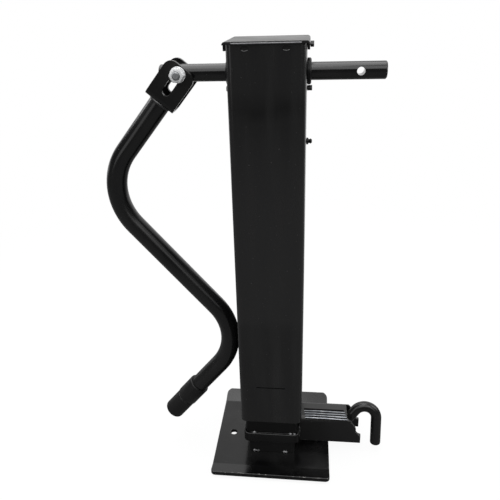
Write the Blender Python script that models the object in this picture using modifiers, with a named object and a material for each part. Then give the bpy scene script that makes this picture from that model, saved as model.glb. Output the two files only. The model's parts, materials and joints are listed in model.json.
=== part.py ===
"""Square side-wind drop-leg jack: a weld-on tube with a geared screw, folding crank and pinned drop leg.

+X points to the coupling end of the cross shaft, -Y to the front, +Z up. The origin is on the tube's axis,
under the sole of the foot.
"""

import math

import bmesh
import bpy
from mathutils import Matrix, Vector

MM = 0.001

# Fits
SEAT_GAP = 0.3 * MM
SLIDE_GAP = 0.34 * MM
TURN_GAP = 0.3 * MM

# Telescoping square tubes
TUBE_WIDTH = 76.2 * MM
TUBE_WALL = 4.76 * MM
TUBE_CORNER = 7.0 * MM
TUBE_LENGTH = 447.0 * MM
INNER_WALL = 2.65 * MM
INNER_CORNER = 5.0 * MM
INNER_SHOWN = 22.5 * MM
LEG_WALL = 4.76 * MM
LEG_CORNER = 5.5 * MM
LEG_SHOWN = 21.7 * MM
LEG_HOLE_PITCH = 50.0 * MM
LEG_TOP_ROOM = 17.0 * MM
LEG_TOP_MARGIN = 40.0 * MM
COLLAR_HEIGHT = 13.3 * MM
COLLAR_THICK = 2.2 * MM

# Foot plate with turned-up lips at front and back
PLATE_WIDTH = 149.0 * MM
PLATE_FLAT = 120.0 * MM
PLATE_THICK = 5.0 * MM
PLATE_SET_BACK = 5.0 * MM
BACK_LIP = 24.5 * MM
FRONT_LIP = 18.5 * MM
LIP_ANGLE = math.radians(12)
PLATE_BACK_CORNER = 10.0 * MM
PLATE_FRONT_CORNER = 6.0 * MM
PLATE_HOLE = 9.0 * MM
PLATE_HOLE_EDGE = 20.0 * MM

# Top cap and the punch marks under its front edge
CAP_THICK = 2.4 * MM
CAP_DROP = 6.0 * MM
CAP_BEND = 3.0 * MM
CAP_OVERHANG = 0.8 * MM
CAP_SCREW_DROP = 3.2 * MM
CAP_SCREW_AF = 5.5 * MM
CAP_SCREW_HEAD = 3.4 * MM
CAP_SCREW_SHANK = 3.4 * MM
DENT_LENGTH = 7.5 * MM
DENT_HEIGHT = 4.2 * MM
DENT_DEPTH = 1.2 * MM
DENT_DROP = 3.6 * MM
DENT_SPACING = 38.6 * MM

# Cross shaft and its bushes
SHAFT_DIAMETER = 17.4 * MM
SHAFT_DROP = 28.5 * MM
SHAFT_CHAMFER = 1.2 * MM
COUPLING_REACH = 77.6 * MM
COUPLING_HOLE = 8.0 * MM
COUPLING_HOLE_EDGE = 25.4 * MM
BUSH_FLANGE = 25.6 * MM
BUSH_FLANGE_THICK = 4.0 * MM
BUSH_WALL = 2.4 * MM
BUSH_INSIDE = 0.5 * MM
BUSH_SCREW_AF = 5.0 * MM
BUSH_SCREW_HEAD = 5.0 * MM
BUSH_SCREW_SHANK = 3.0 * MM
COLLAR_RING = 25.0 * MM
COLLAR_RING_WIDTH = 8.0 * MM
CROSS_PIN = 4.0 * MM

# Bevel gears, whose cones meet where the shaft and screw axes cross
PINION_TEETH = 14
GEAR_TEETH = 21
GEAR_RIM_GAP = 3.2 * MM
GEAR_FACE = 8.0 * MM
GEAR_HUB = 36.0 * MM
GEAR_HUB_LENGTH = 8.5 * MM
PINION_HUB = 25.0 * MM
PRESSURE_ANGLE = math.radians(20)
ADDENDUM = 1.0
DEDENDUM = 1.25
FLANK_STEPS = 5
BACKLASH = 0.25 * MM

# Lead screw, its thrust bearing and nut
SCREW_DIAMETER = 22.0 * MM
SCREW_JOURNAL = 18.0 * MM
SCREW_FLANGE = 34.0 * MM
SCREW_FLANGE_THICK = 5.0 * MM
SCREW_FOOT_ROOM = 65.0 * MM
SCREW_CHAMFER = 1.5 * MM
BEARING_PLATE_THICK = 8.0 * MM
THRUST_WASHER = 32.0 * MM
THRUST_WASHER_THICK = 2.0 * MM
RACE_OUTER = 37.0 * MM
RACE_THICK = 2.6 * MM
BALL = 5.0 * MM
BALL_COUNT = 10
BALL_SEGMENTS = 10
BALL_RINGS = 6
NUT_HEIGHT = 16.0 * MM
NUT_ROOM = 2.0 * MM

# Grease fitting on the right wall
GREASE_DROP = 98.5 * MM
GREASE_BASE = 7.0 * MM
GREASE_NECK = 4.2 * MM
GREASE_BEAD = 5.4 * MM
GREASE_TIP = 2.7 * MM
GREASE_REACH = 6.2 * MM
GREASE_BEAD_AT = 5.0 * MM
GREASE_NECK_TOP = 3.4 * MM
GREASE_NECK_FOOT = 2.6 * MM
GREASE_BASE_HEIGHT = 2.3 * MM

# Folding crank: yoke, pivot bolt, bent tube and grip
YOKE_REACH = 51.4 * MM
YOKE_WIDTH = 34.0 * MM
YOKE_THICK = 4.0 * MM
YOKE_SIDE_GAP = 2.0 * MM
YOKE_TOP = 8.6 * MM
YOKE_LENGTH = 36.5 * MM
YOKE_BEND = 6.0 * MM
YOKE_CORNER = 9.0 * MM
SLOT_TRAVEL = 21.0 * MM
SHAFT_TIP = 21.5 * MM
BOLT_DIAMETER = 8.0 * MM
BOLT_AF = 13.0 * MM
BOLT_HEAD = 5.3 * MM
BOLT_NUT = 6.5 * MM
BOLT_END = 2.0 * MM
BOLT_WASHER = 16.0 * MM
BOLT_WASHER_THICK = 1.6 * MM
HANDLE_TUBE = 23.0 * MM
HANDLE_WALL = 1.8 * MM
HANDLE_UPPER = 162.0 * MM
HANDLE_THROW = 250.0 * MM
HANDLE_LOWER = 159.0 * MM
HANDLE_BEND = 67.0 * MM
HANDLE_TURN = math.radians(80)
HANDLE_REST_GAP = 2.8 * MM
GRIP_LENGTH = 58.0 * MM
GRIP_STEP = 28.0 * MM
GRIP_WALL = 1.9 * MM
GRIP_END_WALL = 1.2 * MM
GRIP_END = 3.0 * MM
GRIP_ROUND = 4.0 * MM
GRIP_ROUND_STEPS = 3

# Plunger, its channel bracket and spring
PLUNGER_UP = 9.1 * MM
PLUNGER_ROD = 13.5 * MM
PLUNGER_NOSE_IN = 3.0 * MM
PLUNGER_NOSE_CHAMFER = 1.5 * MM
BRACKET_HALF = 17.0 * MM
BRACKET_WALL = 4.0 * MM
BRACKET_BEND = 6.0 * MM
BRACKET_UP = 17.7 * MM
BRACKET_DOWN = 19.5 * MM
BRACKET_WEB = 61.0 * MM
BRACKET_REACH = 79.0 * MM
RAMP_TOP_X = 4.0 * MM
RAMP_TOP_DROP = 2.8 * MM
RAMP_FOOT_X = 10.6 * MM
RAMP_FOOT_DROP = 12.6 * MM
NOTCH_RADIUS = 7.2 * MM
NOTCH_BACK = 0.7 * MM
NOTCH_END = math.radians(262)
NOTCH_STEPS = 7
GUIDE_THICK = 4.0 * MM
GUIDE_ROOM = 1.0 * MM
SPRING_WIRE = 1.8 * MM
SPRING_MEAN = 18.4 * MM
SPRING_TURNS = 6
SPRING_POINTS = 9
PLUNGER_WASHER = 22.0 * MM
PLUNGER_WASHER_THICK = 2.0 * MM
ROLL_PIN = 4.0 * MM
ROLL_PIN_LENGTH = 21.0 * MM
ROLL_PIN_IN = 3.0 * MM
J_TILT = math.radians(15)
J_SLOPE = math.radians(52)
J_ROOT = 59.5 * MM
J_ARCH = 15.2 * MM
J_BEND = 14.0 * MM
J_TOP = 22.7 * MM
J_LEG = 29.5 * MM

# Levels and radii that follow from the sizes above
INNER_BOTTOM = PLATE_THICK + LEG_SHOWN
COLLAR_TOP = INNER_BOTTOM + COLLAR_HEIGHT
TUBE_BOTTOM = COLLAR_TOP + INNER_SHOWN
TUBE_TOP = TUBE_BOTTOM + TUBE_LENGTH
TUBE_FACE = TUBE_WIDTH / 2
TUBE_INSIDE = TUBE_FACE - TUBE_WALL
INNER_FACE = TUBE_INSIDE - SLIDE_GAP
INNER_INSIDE = INNER_FACE - INNER_WALL
LEG_FACE = INNER_INSIDE - SLIDE_GAP
SHAFT_Z = TUBE_TOP - SHAFT_DROP
SHAFT_RADIUS = SHAFT_DIAMETER / 2
BOLT_X = -(TUBE_FACE + YOKE_REACH)
PLUNGER_Z = INNER_BOTTOM + PLUNGER_UP

# How finely curves are drawn, and the least corner and gap that are kept
ARC_STEP = math.radians(18)
BEND_STEP = math.radians(10)
SHARP_EDGE = math.radians(35)
ROUND_STEPS = 28
HOLE_STEPS = 20
PIN_STEPS = 12
SLOT_STEPS = 10
BAR_ROUNDNESS = 5
BORE_ROUNDNESS = 4
WIRE_ROUNDNESS = 1
LEAST_CORNER = 1.0 * MM
WELD = 0.01 * MM

FINISHES = {
    "gloss black": ((0.012, 0.012, 0.013, 1.0), 0.28, 0.0),
    "zinc": ((0.62, 0.64, 0.66, 1.0), 0.32, 1.0),
    "steel": ((0.36, 0.36, 0.37, 1.0), 0.42, 1.0),
    "bronze": ((0.42, 0.27, 0.12, 1.0), 0.45, 1.0),
    "black vinyl": ((0.018, 0.018, 0.018, 1.0), 0.5, 0.0),
}

# An outline read as Y and Z is drawn out along X, one read as X and Z along -Y
ALONG_X = Matrix(((0, 0, 1), (1, 0, 0), (0, 1, 0))).to_4x4()
ALONG_Y = Matrix(((1, 0, 0), (0, 0, -1), (0, 1, 0))).to_4x4()
ALONG_Z = Matrix.Identity(4)


def at(x=0.0, y=0.0, z=0.0):
    return Matrix.Translation((x, y, z))


for old in list(bpy.data.objects):
    bpy.data.objects.remove(old, do_unlink=True)

JACK = bpy.data.collections.new("square_drop_leg_jack")
CUTTERS = bpy.data.collections.new("cutters")
bpy.context.scene.collection.children.link(JACK)
bpy.context.scene.collection.children.link(CUTTERS)


def pivot(name, place):
    """An empty on a joint's axis, which carries the pieces that move together."""
    empty = bpy.data.objects.new(name, None)
    empty.matrix_world = place
    JACK.objects.link(empty)
    bpy.context.view_layer.update()
    return empty


def piece(name, mesh, finish, place=ALONG_Z, carrier=None):
    """A named sub-part with a material of its own, placed in the jack and carried by a pivot."""
    colour, roughness, metallic = FINISHES[finish]
    material = bpy.data.materials.new(name + "_" + finish.replace(" ", "_"))
    material.use_nodes = True
    shader = material.node_tree.nodes["Principled BSDF"]
    shader.inputs["Base Color"].default_value = colour
    shader.inputs["Roughness"].default_value = roughness
    shader.inputs["Metallic"].default_value = metallic
    mesh.materials.append(material)
    mesh.shade_smooth()
    mesh.set_sharp_from_angle(angle=SHARP_EDGE)
    part = bpy.data.objects.new(name, mesh)
    JACK.objects.link(part)
    if carrier:
        part.parent = carrier
        part.matrix_parent_inverse = carrier.matrix_world.inverted()
    part.matrix_world = place
    return part


def shape_with(part, operation, mesh, place=ALONG_Z):
    """Cut, join or trim a piece by a second shape."""
    tool = bpy.data.objects.new(part.name + "_tool", mesh)
    tool.matrix_world = place
    tool.hide_render = True
    tool.display_type = "WIRE"
    CUTTERS.objects.link(tool)
    modifier = part.modifiers.new(operation.lower(), "BOOLEAN")
    modifier.operation = operation
    modifier.object = tool
    return part


def cut(part, mesh, place=ALONG_Z):
    return shape_with(part, "DIFFERENCE", mesh, place)


def mesh_of_curve(curve):
    """The closed mesh of a curve, with its caps welded on."""
    holder = bpy.data.objects.new("curve", curve)
    bpy.context.scene.collection.objects.link(holder)
    graph = bpy.context.evaluated_depsgraph_get()
    mesh = bpy.data.meshes.new_from_object(holder.evaluated_get(graph))
    bpy.data.objects.remove(holder)
    body = bmesh.new()
    body.from_mesh(mesh)
    bmesh.ops.remove_doubles(body, verts=body.verts, dist=WELD)
    bmesh.ops.recalc_face_normals(body, faces=body.faces)
    body.to_mesh(mesh)
    body.free()
    return mesh


def slab(thickness, *outlines):
    """A flat outline, with any holes in it, drawn out by its thickness about the middle."""
    curve = bpy.data.curves.new("slab", "CURVE")
    curve.dimensions = "2D"
    curve.fill_mode = "BOTH"
    curve.extrude = thickness / 2
    for outline in outlines:
        spline = curve.splines.new("POLY")
        spline.points.add(len(outline) - 1)
        for point, (x, y) in zip(spline.points, outline):
            point.co = (x, y, 0.0, 1.0)
        spline.use_cyclic_u = True
    return mesh_of_curve(curve)


def swept(path, radius, roundness, chamfer=0.0):
    """A round bar along a path, with its two ends chamfered."""
    widths = [1.0] * len(path)
    if chamfer:
        head = path[0] + (path[1] - path[0]).normalized() * chamfer
        foot = path[-1] + (path[-2] - path[-1]).normalized() * chamfer
        path = [path[0], head, *path[1:-1], foot, path[-1]]
        narrow = 1 - chamfer / radius
        widths = [narrow, *[1.0] * (len(path) - 2), narrow]
    curve = bpy.data.curves.new("bar", "CURVE")
    curve.dimensions = "3D"
    curve.bevel_depth = radius
    curve.bevel_resolution = roundness
    curve.use_fill_caps = True
    spline = curve.splines.new("POLY")
    spline.points.add(len(path) - 1)
    for point, place, width in zip(spline.points, path, widths):
        point.co = (*place, 1.0)
        point.radius = width
    return mesh_of_curve(curve)


def turned(profile, closed=False, steps=ROUND_STEPS):
    """A profile of (radius, height) points, running down its outer side, turned about Z."""
    mesh = bpy.data.meshes.new("profile")
    edges = [(i, i + 1) for i in range(len(profile) - 1)]
    if closed:
        edges.append((len(profile) - 1, 0))
    mesh.from_pydata([(r, 0.0, h) for r, h in profile], edges, [])
    holder = bpy.data.objects.new("turning", mesh)
    bpy.context.scene.collection.objects.link(holder)
    screw = holder.modifiers.new("turn", "SCREW")
    screw.steps = steps
    screw.render_steps = steps
    screw.use_merge_vertices = True
    screw.merge_threshold = WELD
    graph = bpy.context.evaluated_depsgraph_get()
    result = bpy.data.meshes.new_from_object(holder.evaluated_get(graph))
    bpy.data.objects.remove(holder)
    bpy.data.meshes.remove(mesh)
    return result


def ring(outer, inner, height, steps=ROUND_STEPS):
    """A plain washer or sleeve, its lower face at zero."""
    return turned([(outer, height), (outer, 0.0), (inner, 0.0), (inner, height)], True, steps)


def rod(radius, length, steps=ROUND_STEPS, chamfer=0.0):
    """A round bar about the origin, along Z."""
    half = length / 2
    if not chamfer:
        return turned([(0.0, half), (radius, half), (radius, -half), (0.0, -half)], False, steps)
    inner = radius - chamfer
    profile = [(0.0, half), (inner, half), (radius, half - chamfer)]
    profile += [(radius, chamfer - half), (inner, -half), (0.0, -half)]
    return turned(profile, False, steps)


def hexagon(across_flats, height):
    """A hexagonal prism with its lower face at zero."""
    body = bmesh.new()
    radius = across_flats / 2 / math.cos(math.pi / 6)
    bmesh.ops.create_cone(body, cap_ends=True, segments=6, radius1=radius, radius2=radius, depth=height)
    bmesh.ops.translate(body, verts=body.verts, vec=(0.0, 0.0, height / 2))
    mesh = bpy.data.meshes.new("hexagon")
    body.to_mesh(mesh)
    body.free()
    return mesh


def copies(mesh, places):
    """Separate copies of one shape, gathered in one mesh."""
    body = bmesh.new()
    for place in places:
        start = len(body.verts)
        body.from_mesh(mesh)
        body.verts.ensure_lookup_table()
        bmesh.ops.transform(body, matrix=place, verts=body.verts[start:])
    result = bpy.data.meshes.new("group")
    body.to_mesh(result)
    body.free()
    return result


def filleted(corners, closed=True, arc_step=ARC_STEP):
    """A path through (x, y, radius) corners, with each corner rounded by its radius."""
    path = []
    count = len(corners)
    for i, (x, y, radius) in enumerate(corners):
        corner = Vector((x, y))
        if not radius or (not closed and i in (0, count - 1)):
            path.append(corner)
            continue
        back = (Vector(corners[i - 1][:2]) - corner).normalized()
        ahead = (Vector(corners[(i + 1) % count][:2]) - corner).normalized()
        half = back.angle(ahead) / 2
        centre = corner + (back + ahead).normalized() * radius / math.sin(half)
        start = corner + back * radius / math.tan(half) - centre
        end = corner + ahead * radius / math.tan(half) - centre
        sweep = start.angle_signed(end)
        steps = max(1, math.ceil(abs(sweep) / arc_step))
        for k in range(steps + 1):
            path.append(centre + Matrix.Rotation(-sweep * k / steps, 2) @ start)
    return path


def square(half, corner):
    corners = ((half, half), (-half, half), (-half, -half), (half, -half))
    return filleted([(x, y, corner) for x, y in corners])


def obround(length, width):
    """A slot outline about the origin, along X, whose length runs between its end centres."""
    outline = []
    for end, first in ((length / 2, -math.pi / 2), (-length / 2, math.pi / 2)):
        for k in range(SLOT_STEPS + 1):
            angle = first + math.pi * k / SLOT_STEPS
            outline.append((end + width / 2 * math.cos(angle), width / 2 * math.sin(angle)))
    return outline


def square_tube(face, wall, corner, bottom, top):
    """A rounded square tube between two levels, and its place."""
    mesh = slab(top - bottom, square(face, corner), square(face - wall, max(corner - wall, LEAST_CORNER)))
    return mesh, at(z=(top + bottom) / 2)


def bevel_gear_mesh(teeth, mate, module):
    """Straight bevel teeth below the point where the axes cross, every flank running to that point.

    The tooth is the involute of the equal spur gear on the back cone, drawn in the plane of the pitch circle.
    """
    cone = math.atan2(teeth, mate)
    pitch = module * teeth / 2
    depth = module * mate / 2
    spur = pitch / math.cos(cone)
    base = spur * math.cos(PRESSURE_ANGLE)
    quarter = math.pi * math.cos(cone) / (2 * teeth)
    flank = []
    for step in range(FLANK_STEPS):
        height = module * (-DEDENDUM + (ADDENDUM + DEDENDUM) * step / (FLANK_STEPS - 1))
        radius = spur + height
        opening = math.acos(min(1.0, base / radius))
        lean = math.tan(PRESSURE_ANGLE) - PRESSURE_ANGLE - math.tan(opening) + opening
        half_width = radius * (quarter + lean) - BACKLASH / 2
        true_radius = pitch + height * math.cos(cone)
        flank.append((true_radius * depth / (depth - height * math.sin(cone)), half_width / true_radius))
    outline = []
    for tooth in range(teeth):
        middle = 2 * math.pi * tooth / teeth
        outline += [(radius, middle - spread) for radius, spread in flank]
        outline += [(radius, middle + spread) for radius, spread in reversed(flank)]
    body = bmesh.new()
    rim = [body.verts.new((r * math.cos(a), r * math.sin(a), -depth)) for r, a in outline]
    back = body.faces.new(rim)
    front = bmesh.ops.extrude_face_region(body, geom=[back])["geom"]
    shrink = 1 - GEAR_FACE / math.hypot(pitch, depth)
    for vertex in front:
        if isinstance(vertex, bmesh.types.BMVert):
            vertex.co *= shrink
    bmesh.ops.recalc_face_normals(body, faces=body.faces)
    mesh = bpy.data.meshes.new("bevel_gear")
    body.to_mesh(mesh)
    body.free()
    return mesh


# Housing: the outer tube and what is fixed to it
BUSH_BARREL = SHAFT_RADIUS + TURN_GAP + BUSH_WALL
BUSH_SCREW_Z = SHAFT_Z - BUSH_FLANGE / 2 - SEAT_GAP - BUSH_SCREW_AF / 2 / math.cos(math.pi / 6)
CAP_SCREW_Z = TUBE_TOP - CAP_SCREW_DROP
CAP_FACE = TUBE_FACE + SEAT_GAP + CAP_THICK
THROUGH = 2 * TUBE_WIDTH

mesh, place = square_tube(TUBE_FACE, TUBE_WALL, TUBE_CORNER, TUBE_BOTTOM, TUBE_TOP)
outer_tube = piece("outer_tube", mesh, "gloss black", place)
cut(outer_tube, rod(BUSH_BARREL + SEAT_GAP, THROUGH), at(z=SHAFT_Z) @ ALONG_X)
cut(outer_tube, rod(CAP_SCREW_SHANK / 2 + SEAT_GAP, THROUGH, PIN_STEPS), at(z=CAP_SCREW_Z) @ ALONG_X)
cut(outer_tube, rod(BUSH_SCREW_SHANK / 2 + SEAT_GAP, THROUGH, PIN_STEPS), at(z=BUSH_SCREW_Z) @ ALONG_X)
grease_place = at(TUBE_FACE, 0.0, TUBE_TOP - GREASE_DROP) @ ALONG_X
cut(outer_tube, rod(GREASE_NECK / 2 + SEAT_GAP, TUBE_WIDTH, PIN_STEPS), grease_place)
dent = slab(2 * DENT_DEPTH, obround(DENT_LENGTH - DENT_HEIGHT, DENT_HEIGHT))
dents = [at(side * DENT_SPACING / 2, -TUBE_FACE, TUBE_TOP - DENT_DROP) @ ALONG_Y for side in (-1, 1)]
cut(outer_tube, copies(dent, dents))

under_cap = TUBE_TOP + SEAT_GAP
cap_outline = filleted(
    [
        (-CAP_FACE, TUBE_TOP - CAP_DROP, 0.0),
        (-CAP_FACE, under_cap + CAP_THICK, CAP_BEND),
        (CAP_FACE, under_cap + CAP_THICK, CAP_BEND),
        (CAP_FACE, TUBE_TOP - CAP_DROP, 0.0),
        (CAP_FACE - CAP_THICK, TUBE_TOP - CAP_DROP, 0.0),
        (CAP_FACE - CAP_THICK, under_cap, min(CAP_BEND - CAP_THICK, SEAT_GAP)),
        (CAP_THICK - CAP_FACE, under_cap, min(CAP_BEND - CAP_THICK, SEAT_GAP)),
        (CAP_THICK - CAP_FACE, TUBE_TOP - CAP_DROP, 0.0),
    ]
)
top_cap = piece("top_cap", slab(TUBE_WIDTH + 2 * CAP_OVERHANG, cap_outline), "gloss black", ALONG_Y)
cut(top_cap, rod(CAP_SCREW_SHANK / 2 + SEAT_GAP, THROUGH, PIN_STEPS), at(z=CAP_SCREW_Z) @ ALONG_X)
relief_top = under_cap + CAP_THICK - CAP_BEND
relief = [
    (TUBE_FACE - TUBE_CORNER, relief_top),
    (TUBE_FACE + CAP_DROP, relief_top),
    (TUBE_FACE + CAP_DROP, relief_top - CAP_DROP),
    (TUBE_FACE - TUBE_CORNER, relief_top - CAP_DROP),
]
reliefs = [Matrix.Rotation(turn, 4, "Z") @ ALONG_X for turn in (0.0, math.pi)]
cut(top_cap, copies(slab(THROUGH, relief), reliefs))


def side_screws(name, level, seat, across_flats, head, shank, depth):
    """A hex screw in each side wall of the tube, its head on the seat outside."""
    right = at(seat + SEAT_GAP, 0.0, level) @ ALONG_X
    for side, turn in (("right", 0.0), ("left", math.pi)):
        place = Matrix.Rotation(turn, 4, "Z") @ right
        screw = piece(side + name, hexagon(across_flats, head), "gloss black", place)
        stem = rod(shank / 2, depth + head / 2, PIN_STEPS)
        shape_with(screw, "UNION", stem, place @ at(z=(head / 2 - depth) / 2))


screw_depth = CAP_THICK + TUBE_WALL + 2 * SEAT_GAP
side_screws("_cap_screw", CAP_SCREW_Z, CAP_FACE, CAP_SCREW_AF, CAP_SCREW_HEAD, CAP_SCREW_SHANK, screw_depth)
bush_screw = (BUSH_SCREW_AF, BUSH_SCREW_HEAD, BUSH_SCREW_SHANK)
side_screws("_bush_screw", BUSH_SCREW_Z, TUBE_FACE, *bush_screw, TUBE_WALL)

flange_face = TUBE_FACE + SEAT_GAP
bush_end = TUBE_INSIDE - BUSH_INSIDE
bush_profile = [
    (SHAFT_RADIUS + TURN_GAP, flange_face + BUSH_FLANGE_THICK),
    (BUSH_FLANGE / 2 - SHAFT_CHAMFER, flange_face + BUSH_FLANGE_THICK),
    (BUSH_FLANGE / 2, flange_face + BUSH_FLANGE_THICK - SHAFT_CHAMFER),
    (BUSH_FLANGE / 2, flange_face),
    (BUSH_BARREL, flange_face),
    (BUSH_BARREL, bush_end),
    (SHAFT_RADIUS + TURN_GAP, bush_end),
]
piece("right_shaft_bush", turned(bush_profile, True), "gloss black", at(z=SHAFT_Z) @ ALONG_X)
left_side = Matrix.Rotation(math.pi, 4, "Z") @ at(z=SHAFT_Z) @ ALONG_X
piece("left_shaft_bush", turned(bush_profile, True), "gloss black", left_side)

grease_profile = [
    (0.0, GREASE_REACH),
    (GREASE_TIP / 2, GREASE_REACH),
    (GREASE_BEAD / 2, GREASE_BEAD_AT),
    (GREASE_NECK / 2, GREASE_NECK_TOP),
    (GREASE_NECK / 2, GREASE_NECK_FOOT),
    (GREASE_BASE / 2, GREASE_BASE_HEIGHT),
    (GREASE_BASE / 2, SEAT_GAP),
    (GREASE_NECK / 2, SEAT_GAP),
    (GREASE_NECK / 2, -TUBE_WALL),
    (0.0, -TUBE_WALL),
]
piece("grease_fitting", turned(grease_profile, False, HOLE_STEPS), "gloss black", grease_place)

# Gears: the module fills the tube, and the levels below follow from it
gear_cone = math.atan2(GEAR_TEETH, PINION_TEETH)
rim_per_module = (GEAR_TEETH / 2 + ADDENDUM * math.cos(gear_cone)) * PINION_TEETH / 2
rim_per_module /= PINION_TEETH / 2 - ADDENDUM * math.sin(gear_cone)
GEAR_MODULE = (TUBE_INSIDE - GEAR_RIM_GAP) / rim_per_module
GEAR_PITCH = GEAR_MODULE * GEAR_TEETH / 2
PINION_PITCH = GEAR_MODULE * PINION_TEETH / 2
gear_back = SHAFT_Z - PINION_PITCH
gear_front = SHAFT_Z - PINION_PITCH * (1 - GEAR_FACE / math.hypot(GEAR_PITCH, PINION_PITCH))
hub_foot = gear_back - GEAR_HUB_LENGTH
washer_foot = hub_foot - SEAT_GAP - THRUST_WASHER_THICK
plate_foot = washer_foot - SEAT_GAP - BEARING_PLATE_THICK
upper_race_foot = plate_foot - SEAT_GAP - RACE_THICK
ball_level = upper_race_foot - SEAT_GAP - BALL / 2
lower_race_foot = ball_level - BALL / 2 - SEAT_GAP - RACE_THICK
screw_flange_top = lower_race_foot - SEAT_GAP
inner_top = screw_flange_top - SCREW_FLANGE_THICK - NUT_ROOM
journal_bore = SCREW_JOURNAL / 2 + TURN_GAP
ball_circle = (RACE_OUTER / 2 + journal_bore) / 2

half = TUBE_INSIDE - SEAT_GAP
bearing_outline = square(half, max(TUBE_CORNER - TUBE_WALL, LEAST_CORNER))
bearing_mesh = slab(BEARING_PLATE_THICK, bearing_outline)
bearing_plate = piece("bearing_plate", bearing_mesh, "steel", at(z=plate_foot + BEARING_PLATE_THICK / 2))
cut(bearing_plate, rod(journal_bore, TUBE_WIDTH), at(z=plate_foot))
washer = ring(THRUST_WASHER / 2, journal_bore, THRUST_WASHER_THICK)
piece("thrust_washer", washer, "bronze", at(z=washer_foot))
piece("upper_bearing_race", ring(RACE_OUTER / 2, journal_bore, RACE_THICK), "steel", at(z=upper_race_foot))
body = bmesh.new()
bmesh.ops.create_uvsphere(body, u_segments=BALL_SEGMENTS, v_segments=BALL_RINGS, radius=BALL / 2)
ball = bpy.data.meshes.new("ball")
body.to_mesh(ball)
body.free()
for i in range(BALL_COUNT):
    around = Matrix.Rotation(2 * math.pi * i / BALL_COUNT, 4, "Z")
    piece(f"bearing_ball_{i + 1}", ball.copy(), "steel", around @ at(ball_circle, 0.0, ball_level))

# Crank shaft with its pinion, collar and the pivot bolt of the handle
crank_axis = pivot("crank_axis", at(z=SHAFT_Z))
shaft_right = TUBE_FACE + COUPLING_REACH
shaft_left = BOLT_X - SHAFT_TIP
shaft_middle = (shaft_right + shaft_left) / 2
pinion_back = GEAR_PITCH
pinion_hub = bush_end - TURN_GAP - pinion_back
pinion_pin_x = pinion_back + pinion_hub / 2
collar_outer = -(bush_end - SEAT_GAP)
collar_pin_x = collar_outer + COLLAR_RING_WIDTH / 2
across_shaft = at(z=SHAFT_Z) @ ALONG_X

shaft_mesh = rod(SHAFT_RADIUS, shaft_right - shaft_left, ROUND_STEPS, SHAFT_CHAMFER)
shaft_place = at(shaft_middle, 0.0, SHAFT_Z) @ ALONG_X
input_shaft = piece("input_shaft", shaft_mesh, "gloss black", shaft_place, crank_axis)
coupling_x = shaft_right - COUPLING_HOLE_EDGE
cut(input_shaft, rod(COUPLING_HOLE / 2, THROUGH, HOLE_STEPS), at(coupling_x, 0.0, SHAFT_Z) @ ALONG_Y)
cut(input_shaft, rod(BOLT_DIAMETER / 2 + SEAT_GAP, THROUGH, HOLE_STEPS), at(BOLT_X, 0.0, SHAFT_Z) @ ALONG_Y)
cut(input_shaft, rod(CROSS_PIN / 2 + SEAT_GAP, THROUGH, PIN_STEPS), at(pinion_pin_x, 0.0, SHAFT_Z))
cut(input_shaft, rod(CROSS_PIN / 2 + SEAT_GAP, THROUGH, PIN_STEPS), at(collar_pin_x, 0.0, SHAFT_Z))

pinion_place = at(z=SHAFT_Z) @ Matrix.Rotation(-math.pi / 2, 4, "Y")
pinion_mesh = bevel_gear_mesh(PINION_TEETH, GEAR_TEETH, GEAR_MODULE)
bevel_pinion = piece("bevel_pinion", pinion_mesh, "steel", pinion_place, crank_axis)
hub_overlap = GEAR_FACE / 8
hub = rod(PINION_HUB / 2, pinion_hub + hub_overlap)
hub_middle = pinion_back + (pinion_hub - hub_overlap) / 2
shape_with(bevel_pinion, "UNION", hub, at(hub_middle, 0.0, SHAFT_Z) @ ALONG_X)
cut(bevel_pinion, rod(SHAFT_RADIUS + SEAT_GAP, THROUGH), across_shaft)
cut(bevel_pinion, rod(CROSS_PIN / 2 + SEAT_GAP, TUBE_WIDTH, PIN_STEPS), at(pinion_pin_x, 0.0, SHAFT_Z))
pin_mesh = rod(CROSS_PIN / 2, PINION_HUB, PIN_STEPS)
piece("pinion_pin", pin_mesh, "steel", at(pinion_pin_x, 0.0, SHAFT_Z), crank_axis)

collar_mesh = ring(COLLAR_RING / 2, SHAFT_RADIUS + SEAT_GAP, COLLAR_RING_WIDTH)
collar_place = at(collar_outer, 0.0, SHAFT_Z) @ ALONG_X
shaft_collar = piece("shaft_collar", collar_mesh, "steel", collar_place, crank_axis)
cut(shaft_collar, rod(CROSS_PIN / 2 + SEAT_GAP, TUBE_WIDTH, PIN_STEPS), at(collar_pin_x, 0.0, SHAFT_Z))
pin_mesh = rod(CROSS_PIN / 2, COLLAR_RING, PIN_STEPS)
piece("collar_pin", pin_mesh, "steel", at(collar_pin_x, 0.0, SHAFT_Z), crank_axis)

yoke_inside = SHAFT_RADIUS + YOKE_SIDE_GAP
yoke_face = yoke_inside + YOKE_THICK
washer_face = yoke_face + SEAT_GAP + BOLT_WASHER_THICK
nut_face = washer_face + SEAT_GAP + BOLT_NUT
bolt_place = at(BOLT_X, 0.0, SHAFT_Z) @ ALONG_Y
handle_bolt = piece(
    "handle_bolt",
    hexagon(BOLT_AF, BOLT_HEAD),
    "zinc",
    bolt_place @ at(z=-washer_face - SEAT_GAP - BOLT_HEAD),
    crank_axis,
)
bolt_length = nut_face + BOLT_END + washer_face + SEAT_GAP + BOLT_HEAD / 2
bolt_middle = nut_face + BOLT_END - bolt_length / 2
shank = rod(BOLT_DIAMETER / 2, bolt_length, HOLE_STEPS)
shape_with(handle_bolt, "UNION", shank, bolt_place @ at(z=bolt_middle))
handle_nut = piece(
    "handle_nut", hexagon(BOLT_AF, BOLT_NUT), "zinc", bolt_place @ at(z=washer_face + SEAT_GAP), crank_axis
)
cut(handle_nut, rod(BOLT_DIAMETER / 2 + SEAT_GAP, THROUGH, HOLE_STEPS), bolt_place)
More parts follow.
